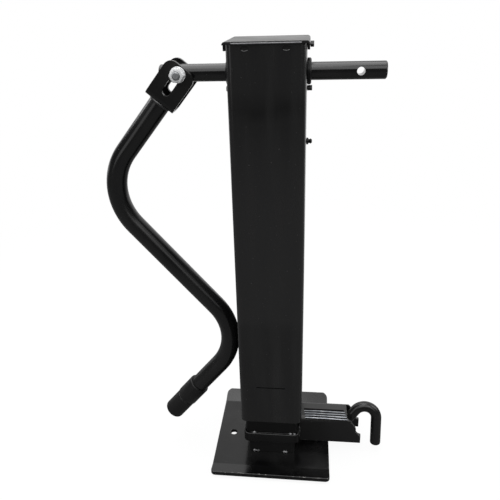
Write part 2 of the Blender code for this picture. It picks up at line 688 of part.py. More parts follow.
for side, level in (("front", yoke_face + SEAT_GAP), ("back", -washer_face)):
    washer = ring(BOLT_WASHER / 2, BOLT_DIAMETER / 2 + SEAT_GAP, BOLT_WASHER_THICK)
    piece(side + "_handle_washer", washer, "zinc", bolt_place @ at(z=level), crank_axis)

# Handle: it hangs from the bolt and leans with its lower bend on the tube
along = Vector((math.cos(HANDLE_TURN), math.sin(HANDLE_TURN)))
first_corner = Vector((HANDLE_UPPER, 0.0))
second_corner = first_corner + along * HANDLE_THROW
handle_end = second_corner + Vector((HANDLE_LOWER, 0.0))
tangent = HANDLE_BEND * math.tan(HANDLE_TURN / 2)
elbow_centre = second_corner + Vector((tangent, -HANDLE_BEND))
elbow_x = -TUBE_FACE - HANDLE_REST_GAP - HANDLE_BEND - HANDLE_TUBE / 2 - BOLT_X
lean = math.acos(-elbow_x / elbow_centre.length) - math.atan2(elbow_centre.y, elbow_centre.x)
fold_axis = pivot("fold_axis", at(BOLT_X, 0.0, SHAFT_Z))

# Handle plane: its x runs down the upper leg from the bolt, its y towards the lower bend
down = Vector((-math.cos(lean), 0.0, -math.sin(lean)))
inward = Vector((math.sin(lean), 0.0, -math.cos(lean)))
handle_plane = Matrix((down, inward, down.cross(inward))).transposed().to_4x4()
handle_plane = at(BOLT_X, 0.0, SHAFT_Z) @ handle_plane

yoke_base = YOKE_LENGTH - YOKE_THICK
yoke_outline = filleted(
    [
        (-YOKE_TOP, yoke_face, 0.0),
        (YOKE_LENGTH, yoke_face, YOKE_BEND),
        (YOKE_LENGTH, -yoke_face, YOKE_BEND),
        (-YOKE_TOP, -yoke_face, 0.0),
        (-YOKE_TOP, -yoke_inside, 0.0),
        (yoke_base, -yoke_inside, YOKE_BEND - YOKE_THICK),
        (yoke_base, yoke_inside, YOKE_BEND - YOKE_THICK),
        (-YOKE_TOP, yoke_inside, 0.0),
    ]
)
strap_place = handle_plane @ Matrix.Rotation(math.pi / 2, 4, "X")
handle_yoke = piece("handle_yoke", slab(YOKE_WIDTH, yoke_outline), "gloss black", strap_place, fold_axis)
side = YOKE_WIDTH / 2
clear = 2 * YOKE_LENGTH
prong_outline = filleted(
    [(-YOKE_TOP, side, YOKE_CORNER), (-YOKE_TOP, -side, YOKE_CORNER), (clear, -side, 0.0), (clear, side, 0.0)]
)
shape_with(handle_yoke, "INTERSECT", slab(clear, prong_outline), handle_plane)
slot_outline = obround(SLOT_TRAVEL, BOLT_DIAMETER + 2 * TURN_GAP)
cut(handle_yoke, slab(clear, slot_outline), handle_plane @ at(SLOT_TRAVEL / 2))
down_handle = handle_plane @ Matrix.Rotation(math.pi / 2, 4, "Y")
cut(handle_yoke, rod(SHAFT_RADIUS + TURN_GAP, YOKE_LENGTH), down_handle @ at(z=YOKE_LENGTH))


def handle_path(start, end):
    """The bent line of the handle between two distances past its straight ends, in the jack's frame."""
    corners = [(start, 0.0, 0.0), (*first_corner, HANDLE_BEND), (*second_corner, HANDLE_BEND)]
    corners.append((handle_end.x + end, handle_end.y, 0.0))
    return [Vector((x, y, 0.0)) for x, y in filleted(corners, False, BEND_STEP)]


tube_start = YOKE_LENGTH + SEAT_GAP
tube_mesh = swept(handle_path(tube_start, 0.0), HANDLE_TUBE / 2, BAR_ROUNDNESS)
handle_tube = piece("handle_tube", tube_mesh, "gloss black", handle_plane, fold_axis)
bore_path = handle_path(tube_start - HANDLE_TUBE, HANDLE_TUBE)
bore = swept(bore_path, HANDLE_TUBE / 2 - HANDLE_WALL, BORE_ROUNDNESS)
cut(handle_tube, bore, handle_plane)

grip_inside = HANDLE_TUBE / 2 + SEAT_GAP
grip_outer = grip_inside + GRIP_WALL
grip_tail = grip_inside + GRIP_END_WALL
grip_tip = SEAT_GAP + GRIP_END
grip_profile = [(0.0, grip_tip)]
for k in range(GRIP_ROUND_STEPS + 1):
    angle = math.pi / 2 * k / GRIP_ROUND_STEPS
    across = grip_tail - GRIP_ROUND * (1 - math.sin(angle))
    grip_profile.append((across, grip_tip - GRIP_ROUND * (1 - math.cos(angle))))
grip_profile += [
    (grip_tail, GRIP_STEP - GRIP_LENGTH),
    (grip_outer, GRIP_STEP - GRIP_LENGTH - GRIP_WALL + GRIP_END_WALL),
    (grip_outer, -GRIP_LENGTH + GRIP_END_WALL),
    (grip_outer - GRIP_END_WALL, -GRIP_LENGTH),
    (grip_inside, -GRIP_LENGTH),
    (grip_inside, SEAT_GAP),
    (0.0, SEAT_GAP),
]
grip_place = down_handle @ at(0.0, handle_end.y, handle_end.x)
piece("handle_grip", turned(grip_profile), "black vinyl", grip_place, fold_axis)

# Lead screw with its gear, running on the thrust bearing
screw_axis = pivot("screw_axis", at(z=SHAFT_Z))
screw_bottom = INNER_BOTTOM + SCREW_FOOT_ROOM
screw_flange_foot = screw_flange_top - SCREW_FLANGE_THICK
screw_profile = [
    (0.0, gear_front),
    (SCREW_JOURNAL / 2, gear_front),
    (SCREW_JOURNAL / 2, screw_flange_top),
    (SCREW_FLANGE / 2, screw_flange_top),
    (SCREW_FLANGE / 2, screw_flange_foot),
    (SCREW_DIAMETER / 2, screw_flange_foot),
    (SCREW_DIAMETER / 2, screw_bottom + SCREW_CHAMFER),
    (SCREW_DIAMETER / 2 - SCREW_CHAMFER, screw_bottom),
    (0.0, screw_bottom),
]
lead_screw = piece("lead_screw", turned(screw_profile), "steel", ALONG_Z, screw_axis)
gear_pin_z = gear_back - GEAR_HUB_LENGTH / 2
cut(lead_screw, rod(CROSS_PIN / 2 + SEAT_GAP, THROUGH, PIN_STEPS), at(z=gear_pin_z) @ ALONG_X)

half_tooth = Matrix.Rotation(math.pi / GEAR_TEETH, 4, "Z")
gear_mesh = bevel_gear_mesh(GEAR_TEETH, PINION_TEETH, GEAR_MODULE)
bevel_gear = piece("bevel_gear", gear_mesh, "steel", at(z=SHAFT_Z) @ half_tooth, screw_axis)
hub = rod(GEAR_HUB / 2, GEAR_HUB_LENGTH + hub_overlap)
shape_with(bevel_gear, "UNION", hub, at(z=hub_foot + (GEAR_HUB_LENGTH + hub_overlap) / 2))
cut(bevel_gear, rod(SCREW_JOURNAL / 2 + SEAT_GAP, THROUGH), at(z=gear_back))
cut(bevel_gear, rod(CROSS_PIN / 2 + SEAT_GAP, THROUGH, PIN_STEPS), at(z=gear_pin_z) @ ALONG_X)
piece("gear_pin", rod(CROSS_PIN / 2, GEAR_HUB, PIN_STEPS), "steel", at(z=gear_pin_z) @ ALONG_X, screw_axis)
race_bore = SCREW_JOURNAL / 2 + SEAT_GAP
race = ring(RACE_OUTER / 2, race_bore, RACE_THICK)
piece("lower_bearing_race", race, "steel", at(z=lower_race_foot), screw_axis)

# Inner leg: the tube that the nut drives, its end band and the plunger's bracket
leg_axis = pivot("leg_axis", at(z=INNER_BOTTOM))
drop_axis = pivot("drop_axis", at(z=PLATE_THICK))
mesh, place = square_tube(INNER_FACE, INNER_WALL, INNER_CORNER, INNER_BOTTOM, inner_top)
inner_tube = piece("inner_tube", mesh, "gloss black", place, leg_axis)
plunger_line = at(z=PLUNGER_Z) @ ALONG_X
plunger_bore = PLUNGER_ROD / 2 + TURN_GAP
right_of_axis = at(TUBE_FACE, 0.0, PLUNGER_Z) @ ALONG_X
cut(inner_tube, rod(plunger_bore, TUBE_WIDTH), right_of_axis)

nut_outline = square(INNER_INSIDE - SEAT_GAP, INNER_CORNER - SEAT_GAP)
nut_place = at(z=inner_top - NUT_HEIGHT / 2)
screw_nut = piece("screw_nut", slab(NUT_HEIGHT, nut_outline), "bronze", nut_place, leg_axis)
cut(screw_nut, rod(SCREW_DIAMETER / 2 + TURN_GAP, TUBE_WIDTH), at(z=inner_top))

collar_inside = INNER_FACE + SEAT_GAP
collar_face = collar_inside + COLLAR_THICK
collar_outline = square(collar_face, INNER_CORNER + COLLAR_THICK)
band_mesh = slab(COLLAR_HEIGHT, collar_outline, square(collar_inside, INNER_CORNER))
leg_collar = piece("leg_collar", band_mesh, "gloss black", at(z=COLLAR_TOP - COLLAR_HEIGHT / 2), leg_axis)
cut(leg_collar, rod(plunger_bore, TUBE_WIDTH), right_of_axis)

bracket_start = collar_face + SEAT_GAP
bracket_top = PLUNGER_Z + BRACKET_UP
bracket_foot = PLUNGER_Z - BRACKET_DOWN
bracket_inside = BRACKET_HALF - BRACKET_WALL
web_under = bracket_top - BRACKET_WALL
channel_outline = filleted(
    [
        (BRACKET_HALF, bracket_foot, 0.0),
        (BRACKET_HALF, bracket_top, BRACKET_BEND),
        (-BRACKET_HALF, bracket_top, BRACKET_BEND),
        (-BRACKET_HALF, bracket_foot, 0.0),
        (-bracket_inside, bracket_foot, 0.0),
        (-bracket_inside, web_under, BRACKET_BEND - BRACKET_WALL),
        (bracket_inside, web_under, BRACKET_BEND - BRACKET_WALL),
        (bracket_inside, bracket_foot, 0.0),
    ]
)
channel_place = at(bracket_start + BRACKET_REACH / 2) @ ALONG_X
channel = slab(BRACKET_REACH, channel_outline)
plunger_bracket = piece("plunger_bracket", channel, "gloss black", channel_place, leg_axis)

# Both wall ends: a ramp that draws the handle out, a notch that holds it and a tooth below
web_end = bracket_start + BRACKET_WEB
tooth_end = bracket_start + BRACKET_REACH
notch_x = tooth_end + NOTCH_BACK
ramp_foot = (web_end + RAMP_FOOT_X, bracket_top - RAMP_FOOT_DROP)
first_angle = math.atan2(ramp_foot[1] - PLUNGER_Z, ramp_foot[0] - notch_x)
cam_outline = [(web_end, bracket_top + BRACKET_WALL), (web_end, bracket_top)]
cam_outline.append((web_end + RAMP_TOP_X, bracket_top - RAMP_TOP_DROP))
cam_outline.append(ramp_foot)
for k in range(1, NOTCH_STEPS + 1):
    angle = first_angle + (NOTCH_END - first_angle) * k / NOTCH_STEPS
    cam_outline.append((notch_x + NOTCH_RADIUS * math.cos(angle), PLUNGER_Z + NOTCH_RADIUS * math.sin(angle)))
beyond = tooth_end + BRACKET_WALL
cam_outline.append((beyond, cam_outline[-1][1]))
cam_outline.append((beyond, bracket_top + BRACKET_WALL))
cut(plunger_bracket, slab(4 * BRACKET_HALF, cam_outline), ALONG_Y)
mouth_top = bracket_top + BRACKET_WALL
mouth_outline = [(web_end, PLUNGER_Z), (beyond, PLUNGER_Z), (beyond, mouth_top), (web_end, mouth_top)]
cut(plunger_bracket, slab(2 * bracket_inside, mouth_outline), ALONG_Y)

root_x = bracket_start + J_ROOT
guide_x = root_x - J_BEND * math.tan(J_SLOPE / 2) - GUIDE_ROOM - GUIDE_THICK
guide_half = bracket_inside - SEAT_GAP
guide_top = web_under - SEAT_GAP
guide_corner = BRACKET_BEND - BRACKET_WALL + SEAT_GAP
guide_outline = filleted(
    [
        (guide_half, guide_top, guide_corner),
        (-guide_half, guide_top, guide_corner),
        (-guide_half, bracket_foot, 0.0),
        (guide_half, bracket_foot, 0.0),
    ]
)
guide_place = at(guide_x + GUIDE_THICK / 2) @ ALONG_X
plunger_guide = piece("plunger_guide", slab(GUIDE_THICK, guide_outline), "gloss black", guide_place, leg_axis)
cut(plunger_guide, rod(plunger_bore, TUBE_WIDTH), at(guide_x, 0.0, PLUNGER_Z) @ ALONG_X)

# Plunger: a round pin bent into the J handle, with its spring seat
draw_axis = pivot("draw_axis", at(z=PLUNGER_Z))
nose = LEG_FACE - LEG_WALL - PLUNGER_NOSE_IN
arch_foot = J_TOP - J_ARCH * (1 - math.cos(J_SLOPE))
leg_x = root_x + arch_foot / math.tan(J_SLOPE) + J_ARCH * (1 + math.sin(J_SLOPE))
arch_corner = (leg_x, (leg_x - root_x) * math.tan(J_SLOPE), J_ARCH)
j_corners = [(nose, 0.0, 0.0), (root_x, 0.0, J_BEND), arch_corner, (leg_x, -J_LEG, 0.0)]
j_path = [Vector((x, y, 0.0)) for x, y in filleted(j_corners, False, BEND_STEP)]
j_up = Vector((0.0, math.sin(J_TILT), math.cos(J_TILT)))
j_plane = Matrix(((1.0, 0.0, 0.0), j_up, Vector((1.0, 0.0, 0.0)).cross(j_up))).transposed().to_4x4()
j_mesh = swept(j_path, PLUNGER_ROD / 2, BAR_ROUNDNESS, PLUNGER_NOSE_CHAMFER)
plunger_pin = piece("plunger_pin", j_mesh, "gloss black", at(z=PLUNGER_Z) @ j_plane, draw_axis)
roll_pin_x = bracket_start + ROLL_PIN_IN
roll_pin_place = at(roll_pin_x, 0.0, PLUNGER_Z) @ ALONG_Y
cut(plunger_pin, rod(ROLL_PIN / 2 + SEAT_GAP, THROUGH, PIN_STEPS), roll_pin_place)
piece("plunger_roll_pin", rod(ROLL_PIN / 2, ROLL_PIN_LENGTH, PIN_STEPS), "steel", roll_pin_place, draw_axis)

spring_washer_x = roll_pin_x + ROLL_PIN / 2 + SEAT_GAP
washer = ring(PLUNGER_WASHER / 2, plunger_bore, PLUNGER_WASHER_THICK)
piece("plunger_washer", washer, "zinc", at(spring_washer_x, 0.0, PLUNGER_Z) @ ALONG_X, draw_axis)

# Spring between the washer and the guide, each end running on straight for one wire's width
spring_start = spring_washer_x + PLUNGER_WASHER_THICK + SEAT_GAP + SPRING_WIRE / 2
spring_end = guide_x - SEAT_GAP - SPRING_WIRE / 2
spring_steps = SPRING_TURNS * SPRING_POINTS
coil = []
for k in range(spring_steps + 1):
    angle = 2 * math.pi * k / SPRING_POINTS
    level = spring_start + (spring_end - spring_start) * k / spring_steps
    coil.append(Vector((SPRING_MEAN / 2 * math.cos(angle), SPRING_MEAN / 2 * math.sin(angle), level)))
tail = Vector((0.0, SPRING_WIRE, 0.0))
coil = [coil[0] - tail, *coil, coil[-1] + tail]
piece("plunger_spring", swept(coil, SPRING_WIRE / 2, WIRE_ROUNDNESS), "zinc", plunger_line, leg_axis)
apart = SPRING_POINTS * 2 // 3
least_gap = min((coil[i] - coil[j]).length for i in range(len(coil)) for j in range(i + apart, len(coil)))
print("least gap between curls of the spring, mm:", round((least_gap - SPRING_WIRE) / MM, 2))

# Drop leg: the inmost tube, with a row of pin holes, on its foot plate
leg_top = inner_top - NUT_HEIGHT - LEG_TOP_ROOM
mesh, place = square_tube(LEG_FACE, LEG_WALL, LEG_CORNER, PLATE_THICK + SEAT_GAP, leg_top)
drop_leg_tube = piece("drop_leg_tube", mesh, "gloss black", place, drop_axis)
hole_count = int((leg_top - PLUNGER_Z - LEG_TOP_MARGIN) / LEG_HOLE_PITCH) + 1
hole_rows = [at(z=PLUNGER_Z + LEG_HOLE_PITCH * k) @ ALONG_X for k in range(hole_count)]
cut(drop_leg_tube, copies(rod(plunger_bore + TURN_GAP, THROUGH, HOLE_STEPS), hole_rows))

fold = PLATE_FLAT / 2
rise_y = PLATE_THICK * math.sin(LIP_ANGLE)
rise_z = PLATE_THICK * math.cos(LIP_ANGLE)
inner_fold = fold - PLATE_THICK * math.tan(LIP_ANGLE / 2)
back_y = fold + BACK_LIP * math.cos(LIP_ANGLE)
back_z = BACK_LIP * math.sin(LIP_ANGLE)
front_y = -fold - FRONT_LIP * math.cos(LIP_ANGLE)
front_z = FRONT_LIP * math.sin(LIP_ANGLE)
plate_profile = filleted(
    [
        (front_y, front_z, 0.0),
        (-fold, 0.0, 2 * PLATE_THICK),
        (fold, 0.0, 2 * PLATE_THICK),
        (back_y, back_z, 0.0),
        (back_y - rise_y, back_z + rise_z, 0.0),
        (inner_fold, PLATE_THICK, PLATE_THICK),
        (-inner_fold, PLATE_THICK, PLATE_THICK),
        (front_y + rise_y, front_z + rise_z, 0.0),
    ]
)
plate_mesh = slab(PLATE_WIDTH, plate_profile)
foot_plate = piece("foot_plate", plate_mesh, "gloss black", at(y=PLATE_SET_BACK) @ ALONG_X, drop_axis)
side = PLATE_WIDTH / 2
plate_outline = filleted(
    [
        (side, back_y, PLATE_BACK_CORNER),
        (-side, back_y, PLATE_BACK_CORNER),
        (-side, front_y, PLATE_FRONT_CORNER),
        (side, front_y, PLATE_FRONT_CORNER),
    ]
)
shape_with(foot_plate, "INTERSECT", slab(PLATE_WIDTH, plate_outline), at(y=PLATE_SET_BACK))
hole_x = side - PLATE_HOLE_EDGE
plate_holes = [at(x, PLATE_SET_BACK / 2, 0.0) for x in (-hole_x, hole_x)]
cut(foot_plate, copies(rod(PLATE_HOLE / 2, PLATE_WIDTH, HOLE_STEPS), plate_holes))
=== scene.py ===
import json
import math

import bmesh
import bpy
from mathutils import Matrix, Vector


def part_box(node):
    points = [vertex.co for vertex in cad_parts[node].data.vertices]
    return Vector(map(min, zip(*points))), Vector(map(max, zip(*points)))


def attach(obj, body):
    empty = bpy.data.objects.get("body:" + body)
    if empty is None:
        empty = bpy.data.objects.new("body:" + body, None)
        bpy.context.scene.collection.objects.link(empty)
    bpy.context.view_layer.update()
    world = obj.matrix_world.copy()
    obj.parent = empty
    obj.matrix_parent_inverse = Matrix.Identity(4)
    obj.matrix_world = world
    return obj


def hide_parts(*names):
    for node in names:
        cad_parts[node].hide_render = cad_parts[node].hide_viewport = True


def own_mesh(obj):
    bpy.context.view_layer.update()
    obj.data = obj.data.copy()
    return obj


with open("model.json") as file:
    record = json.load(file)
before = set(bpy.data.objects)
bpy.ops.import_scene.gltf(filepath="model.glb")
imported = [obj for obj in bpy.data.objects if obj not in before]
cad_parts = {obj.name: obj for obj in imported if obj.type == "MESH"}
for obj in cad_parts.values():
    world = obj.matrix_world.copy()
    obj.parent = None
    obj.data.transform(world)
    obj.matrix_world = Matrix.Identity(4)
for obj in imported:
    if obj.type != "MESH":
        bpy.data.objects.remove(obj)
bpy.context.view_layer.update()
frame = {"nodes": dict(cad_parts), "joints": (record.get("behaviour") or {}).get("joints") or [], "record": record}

# Outer tube: a length of welded square steel tube with rolled corners, sawn off square. It is the jack's
# body, welded to the trailer, with two stops punched in under its cap. Its gloss black enamel is painted
# lighter and darker in bands up its height, as painted reflection and shade.
MM = 0.001
TUBE_EDGE = 0.7 * MM
SHARP = math.radians(32)
SAME_POINT = 0.001 * MM
SAME_PLANE = math.radians(1)
EVEN = (1.0, 1.0, 1.0)
SMEARS = (1.0, 1.0, 0.45)
STREAKS = (3.2, 3.2, 0.30)
CLOUD = (0.3, 0.7)
SMEAR_SCALE = 22.0
SMEAR_EDGE = (0.42, 0.80)
MOTE_SCALE = 620.0
MOTE_EDGE = (0.77, 0.81)
MOTE_GREY = (0.07, 0.07, 0.07)
PEEL_SCALE = 420.0
PEEL_DEPTH = 0.05 * MM
ENAMEL_BLUE = 1.06
TONE_BAND_BLUE = 1.02
TONE_BAND_SCALE = 40.0
TONE_BAND_WANDER = 4.0 * MM
# Tones at heights up the tube: bands of painted reflection and shade.
PAINTED_REFLECTION_BANDS = {
    62.5 * MM: 0.0072,
    199.0 * MM: 0.0082,
    213.0 * MM: 0.0124,
    350.0 * MM: 0.0134,
    400.0 * MM: 0.0118,
    437.0 * MM: 0.0092,
    450.0 * MM: 0.0050,
    467.0 * MM: 0.0112,
    485.0 * MM: 0.0124,
    509.5 * MM: 0.0118,
}
carrier = {node: body for body, nodes in frame["record"]["behaviour"]["bodies"].items() for node in nodes}
finish_slot = {entry["node"]: entry["material_slot"] for entry in frame["record"]["subparts"]}


def surface(name):
    """A new material: its node tree, its shader and the place of each point on the piece."""
    material = bpy.data.materials.new(name)
    material.use_nodes = True
    tree = material.node_tree
    place = tree.nodes.new("ShaderNodeTexCoord").outputs["Object"]
    return material, tree, tree.nodes["Principled BSDF"], place


def speckle(tree, place, scale, detail=4.0, stretch=EVEN):
    """A cloudy pattern, stretched where a grain runs along an axis."""
    mapping = tree.nodes.new("ShaderNodeMapping")
    mapping.inputs["Scale"].default_value = stretch
    tree.links.new(place, mapping.inputs["Vector"])
    noise = tree.nodes.new("ShaderNodeTexNoise")
    noise.inputs["Scale"].default_value = scale
    noise.inputs["Detail"].default_value = detail
    tree.links.new(mapping.outputs["Vector"], noise.inputs["Vector"])
    return noise.outputs["Fac"]


def spread(tree, value, start, end, low=0.0, high=1.0):
    """A value carried over from one range to another."""
    node = tree.nodes.new("ShaderNodeMapRange")
    node.inputs["From Min"].default_value = start
    node.inputs["From Max"].default_value = end
    node.inputs["To Min"].default_value = low
    node.inputs["To Max"].default_value = high
    tree.links.new(value, node.inputs["Value"])
    return node.outputs["Result"]


def worked(tree, kind, operation, *values):
    """One step of sums, by a node of that kind, on patterns, plain numbers or directions."""
    node = tree.nodes.new(kind)
    node.operation = operation
    for socket, value in zip(node.inputs, values):
        if isinstance(value, (float, tuple)):
            socket.default_value = value
        else:
            tree.links.new(value, socket)
    return node.outputs["Value"]


def along(tree, place, axis):
    """How far each point lies along an axis."""
    split = tree.nodes.new("ShaderNodeSeparateXYZ")
    tree.links.new(place, split.inputs["Vector"])
    return split.outputs[axis]


def shades(tree, share, dark, light):
    """A colour between two, by a share from 0 to 1."""
    node = tree.nodes.new("ShaderNodeMix")
    node.data_type = "RGBA"
    tree.links.new(share, node.inputs["Factor"])
    for socket, colour in (("A", dark), ("B", light)):
        if isinstance(colour, tuple):
            node.inputs[socket].default_value = (*colour, 1.0)
        else:
            tree.links.new(colour, node.inputs[socket])
    return node.outputs["Result"]


def raised(tree, shader, height, strength, depth):
    """Give a surface the relief of a pattern."""
    node = tree.nodes.new("ShaderNodeBump")
    node.inputs["Strength"].default_value = strength
    node.inputs["Distance"].default_value = depth
    tree.links.new(height, node.inputs["Height"])
    tree.links.new(node.outputs["Normal"], shader.inputs["Normal"])


def painted_tone_bands(tree, place, tone_bands):
    """Painted reflection and shade: the tone at each height of a piece, with the lowest first."""
    ragged = spread(tree, speckle(tree, place, TONE_BAND_SCALE), *CLOUD, -TONE_BAND_WANDER, TONE_BAND_WANDER)
    height = worked(tree, "ShaderNodeMath", "ADD", along(tree, place, "Z"), ragged)
    foot, *between, top = tone_bands
    ramp = tree.nodes.new("ShaderNodeValToRGB")
    tree.links.new(spread(tree, height, foot, top), ramp.inputs["Fac"])
    stops = ramp.color_ramp.elements
    for level in between:
        stops.new((level - foot) / (top - foot))
    for stop, tone in zip(stops, tone_bands.values()):
        stop.color = (tone, tone, TONE_BAND_BLUE * tone, 1.0)
    return ramp.outputs["Color"]


def black_paint(name, tone, sheen, dust, peel=0.12, gloss=0.5, run=SMEARS, tone_bands=None):
    """Gloss black enamel on steel: orange peel, dust smears and motes, and any bands of painted reflection and
    shade.
    """
    paint, tree, shader, place = surface(name)
    smears = speckle(tree, place, SMEAR_SCALE, detail=6.0, stretch=run)
    enamel = painted_tone_bands(tree, place, tone_bands) if tone_bands else (tone, tone, ENAMEL_BLUE * tone)
    colour = shades(tree, spread(tree, smears, *SMEAR_EDGE), enamel, (tone + dust, tone + dust, tone + dust))
    motes = spread(tree, speckle(tree, place, MOTE_SCALE, detail=1.0), *MOTE_EDGE)
    colour = shades(tree, motes, colour, MOTE_GREY)
    tree.links.new(colour, shader.inputs["Base Color"])
    tree.links.new(spread(tree, smears, *CLOUD, *sheen), shader.inputs["Roughness"])
    shader.inputs["Specular IOR Level"].default_value = gloss
    raised(tree, shader, speckle(tree, place, PEEL_SCALE, detail=2.0), peel, PEEL_DEPTH)
    return paint


def hung(piece, material, body, slot, *nodes):
    """Coat a piece and let it move with the body that carries it, in place of the plain solids named."""
    piece.data.materials.clear()
    piece.data.materials.append(material)
    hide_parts(*nodes)
    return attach(piece, body)


def eased(name, node, edge, material):
    """A solid of the frame with its sharp edges broken by a small radius."""
    mesh = frame["nodes"][node].data.copy()
    piece = bpy.data.objects.new(name, mesh)
    bpy.context.collection.objects.link(piece)
    body = bmesh.new()
    body.from_mesh(mesh)
    bmesh.ops.remove_doubles(body, verts=body.verts, dist=SAME_POINT)
    bmesh.ops.dissolve_limit(body, angle_limit=SAME_PLANE, verts=body.verts, edges=body.edges)
    body.to_mesh(mesh)
    body.free()
    if "custom_normal" in mesh.attributes:
        mesh.attributes.remove(mesh.attributes["custom_normal"])
    mesh.shade_smooth()
    mesh.set_sharp_from_angle(angle=SHARP)
    bevel = piece.modifiers.new("broken_edges", "BEVEL")
    bevel.width = edge
    bevel.segments = 2
    bevel.limit_method = "ANGLE"
    bevel.angle_limit = SHARP
    normals = piece.modifiers.new("flat_faces", "WEIGHTED_NORMAL")
    normals.keep_sharp = True
    return hung(piece, material, carrier[node], finish_slot[node], node)


tube_low, tube_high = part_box("outer_tube")
# The tube's black carries bands of painted reflection and shade by height.
tube_paint = black_paint("tube_paint", tone=0.0085, sheen=(0.12, 0.28), dust=0.007, run=STREAKS, tone_bands=PAINTED_REFLECTION_BANDS)
eased("painted_tube", "outer_tube", TUBE_EDGE, tube_paint)

# Blank patch: a square panel of thin film on the front of the tube, low down, sprayed over with it. Its rim
# fades into the paint outside and steps down sharply inside. A dark strip over its top edge is painted shadow.
PATCH_LOW, PATCH_HIGH = (-17.6 * MM, 79.0 * MM), (17.9 * MM, 116.5 * MM)
PATCH_CORNER = 2.0 * MM
PATCH_FADE = 6.0 * MM
PATCH_STEP = 0.5 * MM
FADE_LIFT, RIM_LIFT, FILM_LIFT = 0.02 * MM, 0.35 * MM, 0.05 * MM
PATCH_LEVELS = [(PATCH_FADE, 0.0), (PATCH_FADE, FADE_LIFT), (PATCH_STEP, RIM_LIFT), (0.0, FILM_LIFT)]
SHADOW_LINE_LOW, SHADOW_LINE_HIGH = (-17.0 * MM, 116.2 * MM), (18.0 * MM, 117.1 * MM)
SHADOW_LINE_CORNER = 0.4 * MM
SHADOW_LINE_ROUND = 0.1 * MM
SHADOW_LINE_EDGE_LIFT, SHADOW_LINE_LIFT = 0.42 * MM, 0.45 * MM
SHADOW_LINE_LEVELS = [(SHADOW_LINE_ROUND, 0.0), (SHADOW_LINE_ROUND, SHADOW_LINE_EDGE_LIFT), (0.0, SHADOW_LINE_LIFT)]
CORNER_STEPS = 6


def linked(name, body):
    """A piece made from a finished shape, with smooth faces up to its sharp edges."""
    bmesh.ops.recalc_face_normals(body, faces=body.faces)
    mesh = bpy.data.meshes.new(name)
    body.to_mesh(mesh)
    body.free()
    mesh.shade_smooth()
    mesh.set_sharp_from_angle(angle=SHARP)
    piece = bpy.data.objects.new(name, mesh)
    bpy.context.collection.objects.link(piece)
    return piece


def skinned(name, rings, closed=False):
    """A shape stretched over rings of points, capped at both ends or joined round on itself."""
    body = bmesh.new()
    loops = [[body.verts.new(point) for point in ring] for ring in rings]
    pairs = list(zip(loops, loops[1:]))
    if closed:
        pairs.append((loops[-1], loops[0]))
    else:
        body.faces.new(loops[0])
        body.faces.new(loops[-1])
    for one, other in pairs:
        for k in range(len(one)):
            body.faces.new((one[k - 1], one[k], other[k], other[k - 1]))
    return linked(name, body)


def film(name, low, high, corner, levels, place):
    """A thin sheet with round corners, built up from outlines that are grown and lifted level by level."""
    middle = Vector(((low[0] + high[0]) / 2, (low[1] + high[1]) / 2))
    half = Vector((high[0] - low[0], high[1] - low[1])) / 2
    rings = []
    for grow, lift in levels:
        ring = []
        for quarter, (right, up) in enumerate(((1, 1), (-1, 1), (-1, -1), (1, -1))):
            for step in range(CORNER_STEPS + 1):
                angle = math.pi / 2 * (quarter + step / CORNER_STEPS)
                x = middle.x + right * (half.x - corner) + (corner + grow) * math.cos(angle)
                y = middle.y + up * (half.y - corner) + (corner + grow) * math.sin(angle)
                ring.append(place @ Vector((x, y, lift)))
        rings.append(ring)
    return skinned(name, rings)


front_face = Matrix(((1, 0, 0, 0), (0, 0, -1, tube_low.y), (0, 1, 0, 0), (0, 0, 0, 1)))
patch = film("blank_patch", PATCH_LOW, PATCH_HIGH, PATCH_CORNER, PATCH_LEVELS, front_face)
patch.modifiers.new("flat_faces", "WEIGHTED_NORMAL")
patch_film = black_paint("patch_film", tone=0.0070, sheen=(0.12, 0.28), dust=0.007, run=STREAKS)
hung(patch, patch_film, "housing", "black_paint")
# A matte black strip laid over the patch's top edge: painted shadow.
patch_shadow_line = film("patch_shadow_line", SHADOW_LINE_LOW, SHADOW_LINE_HIGH, SHADOW_LINE_CORNER, SHADOW_LINE_LEVELS, front_face)
painted_shadow_line = black_paint("painted_shadow_line", tone=0.001, sheen=(0.8, 0.9), dust=0.001, gloss=0.05)
hung(patch_shadow_line, painted_shadow_line, "housing", "black_paint")

# Top cap: sheet steel with its two sides folded down over the tube and a screw through each. It was sprayed
# with the tube, and the paint is rubbed through in specks along its edges.
CAP_EDGE = 0.5 * MM
CHIP_SCALE = 260.0
CHIP_EDGE = (0.61, 0.69)
CHIP_GROWTH = 0.25
CREASE = (0.98, 0.80)
BARE_STEEL = (0.50, 0.49, 0.47)


def worn_paint(name, worn, bare=0.2, **enamel):
    """Black enamel rubbed off along sharp edges, in specks that run together where more of it is bare."""
    paint = black_paint(name, **enamel)
    tree = paint.node_tree
    place = tree.nodes.new("ShaderNodeTexCoord").outputs["Object"]
    rounded = tree.nodes.new("ShaderNodeBevel")
    rounded.inputs["Radius"].default_value = worn
    flat = tree.nodes.new("ShaderNodeNewGeometry")
    normals = rounded.outputs["Normal"], flat.outputs["Normal"]
    edge = spread(tree, worked(tree, "ShaderNodeVectorMath", "DOT_PRODUCT", *normals), *CREASE)
    start, end = (level - CHIP_GROWTH * bare for level in CHIP_EDGE)
    specks = spread(tree, speckle(tree, place, CHIP_SCALE, detail=3.0), start, end)
    rubbed = worked(tree, "ShaderNodeMath", "MULTIPLY", edge, specks)
    base = tree.nodes["Principled BSDF"].inputs["Base Color"]
    tree.links.new(shades(tree, rubbed, base.links[0].from_socket, BARE_STEEL), base)
    return paint


cap_paint = worn_paint(
    "cap_paint", worn=0.8 * MM, bare=0.3, tone=0.005, sheen=(0.30, 0.44), dust=0.012, peel=0.08, gloss=0.48
)
eased("painted_cap", "top_cap", CAP_EDGE, cap_paint)

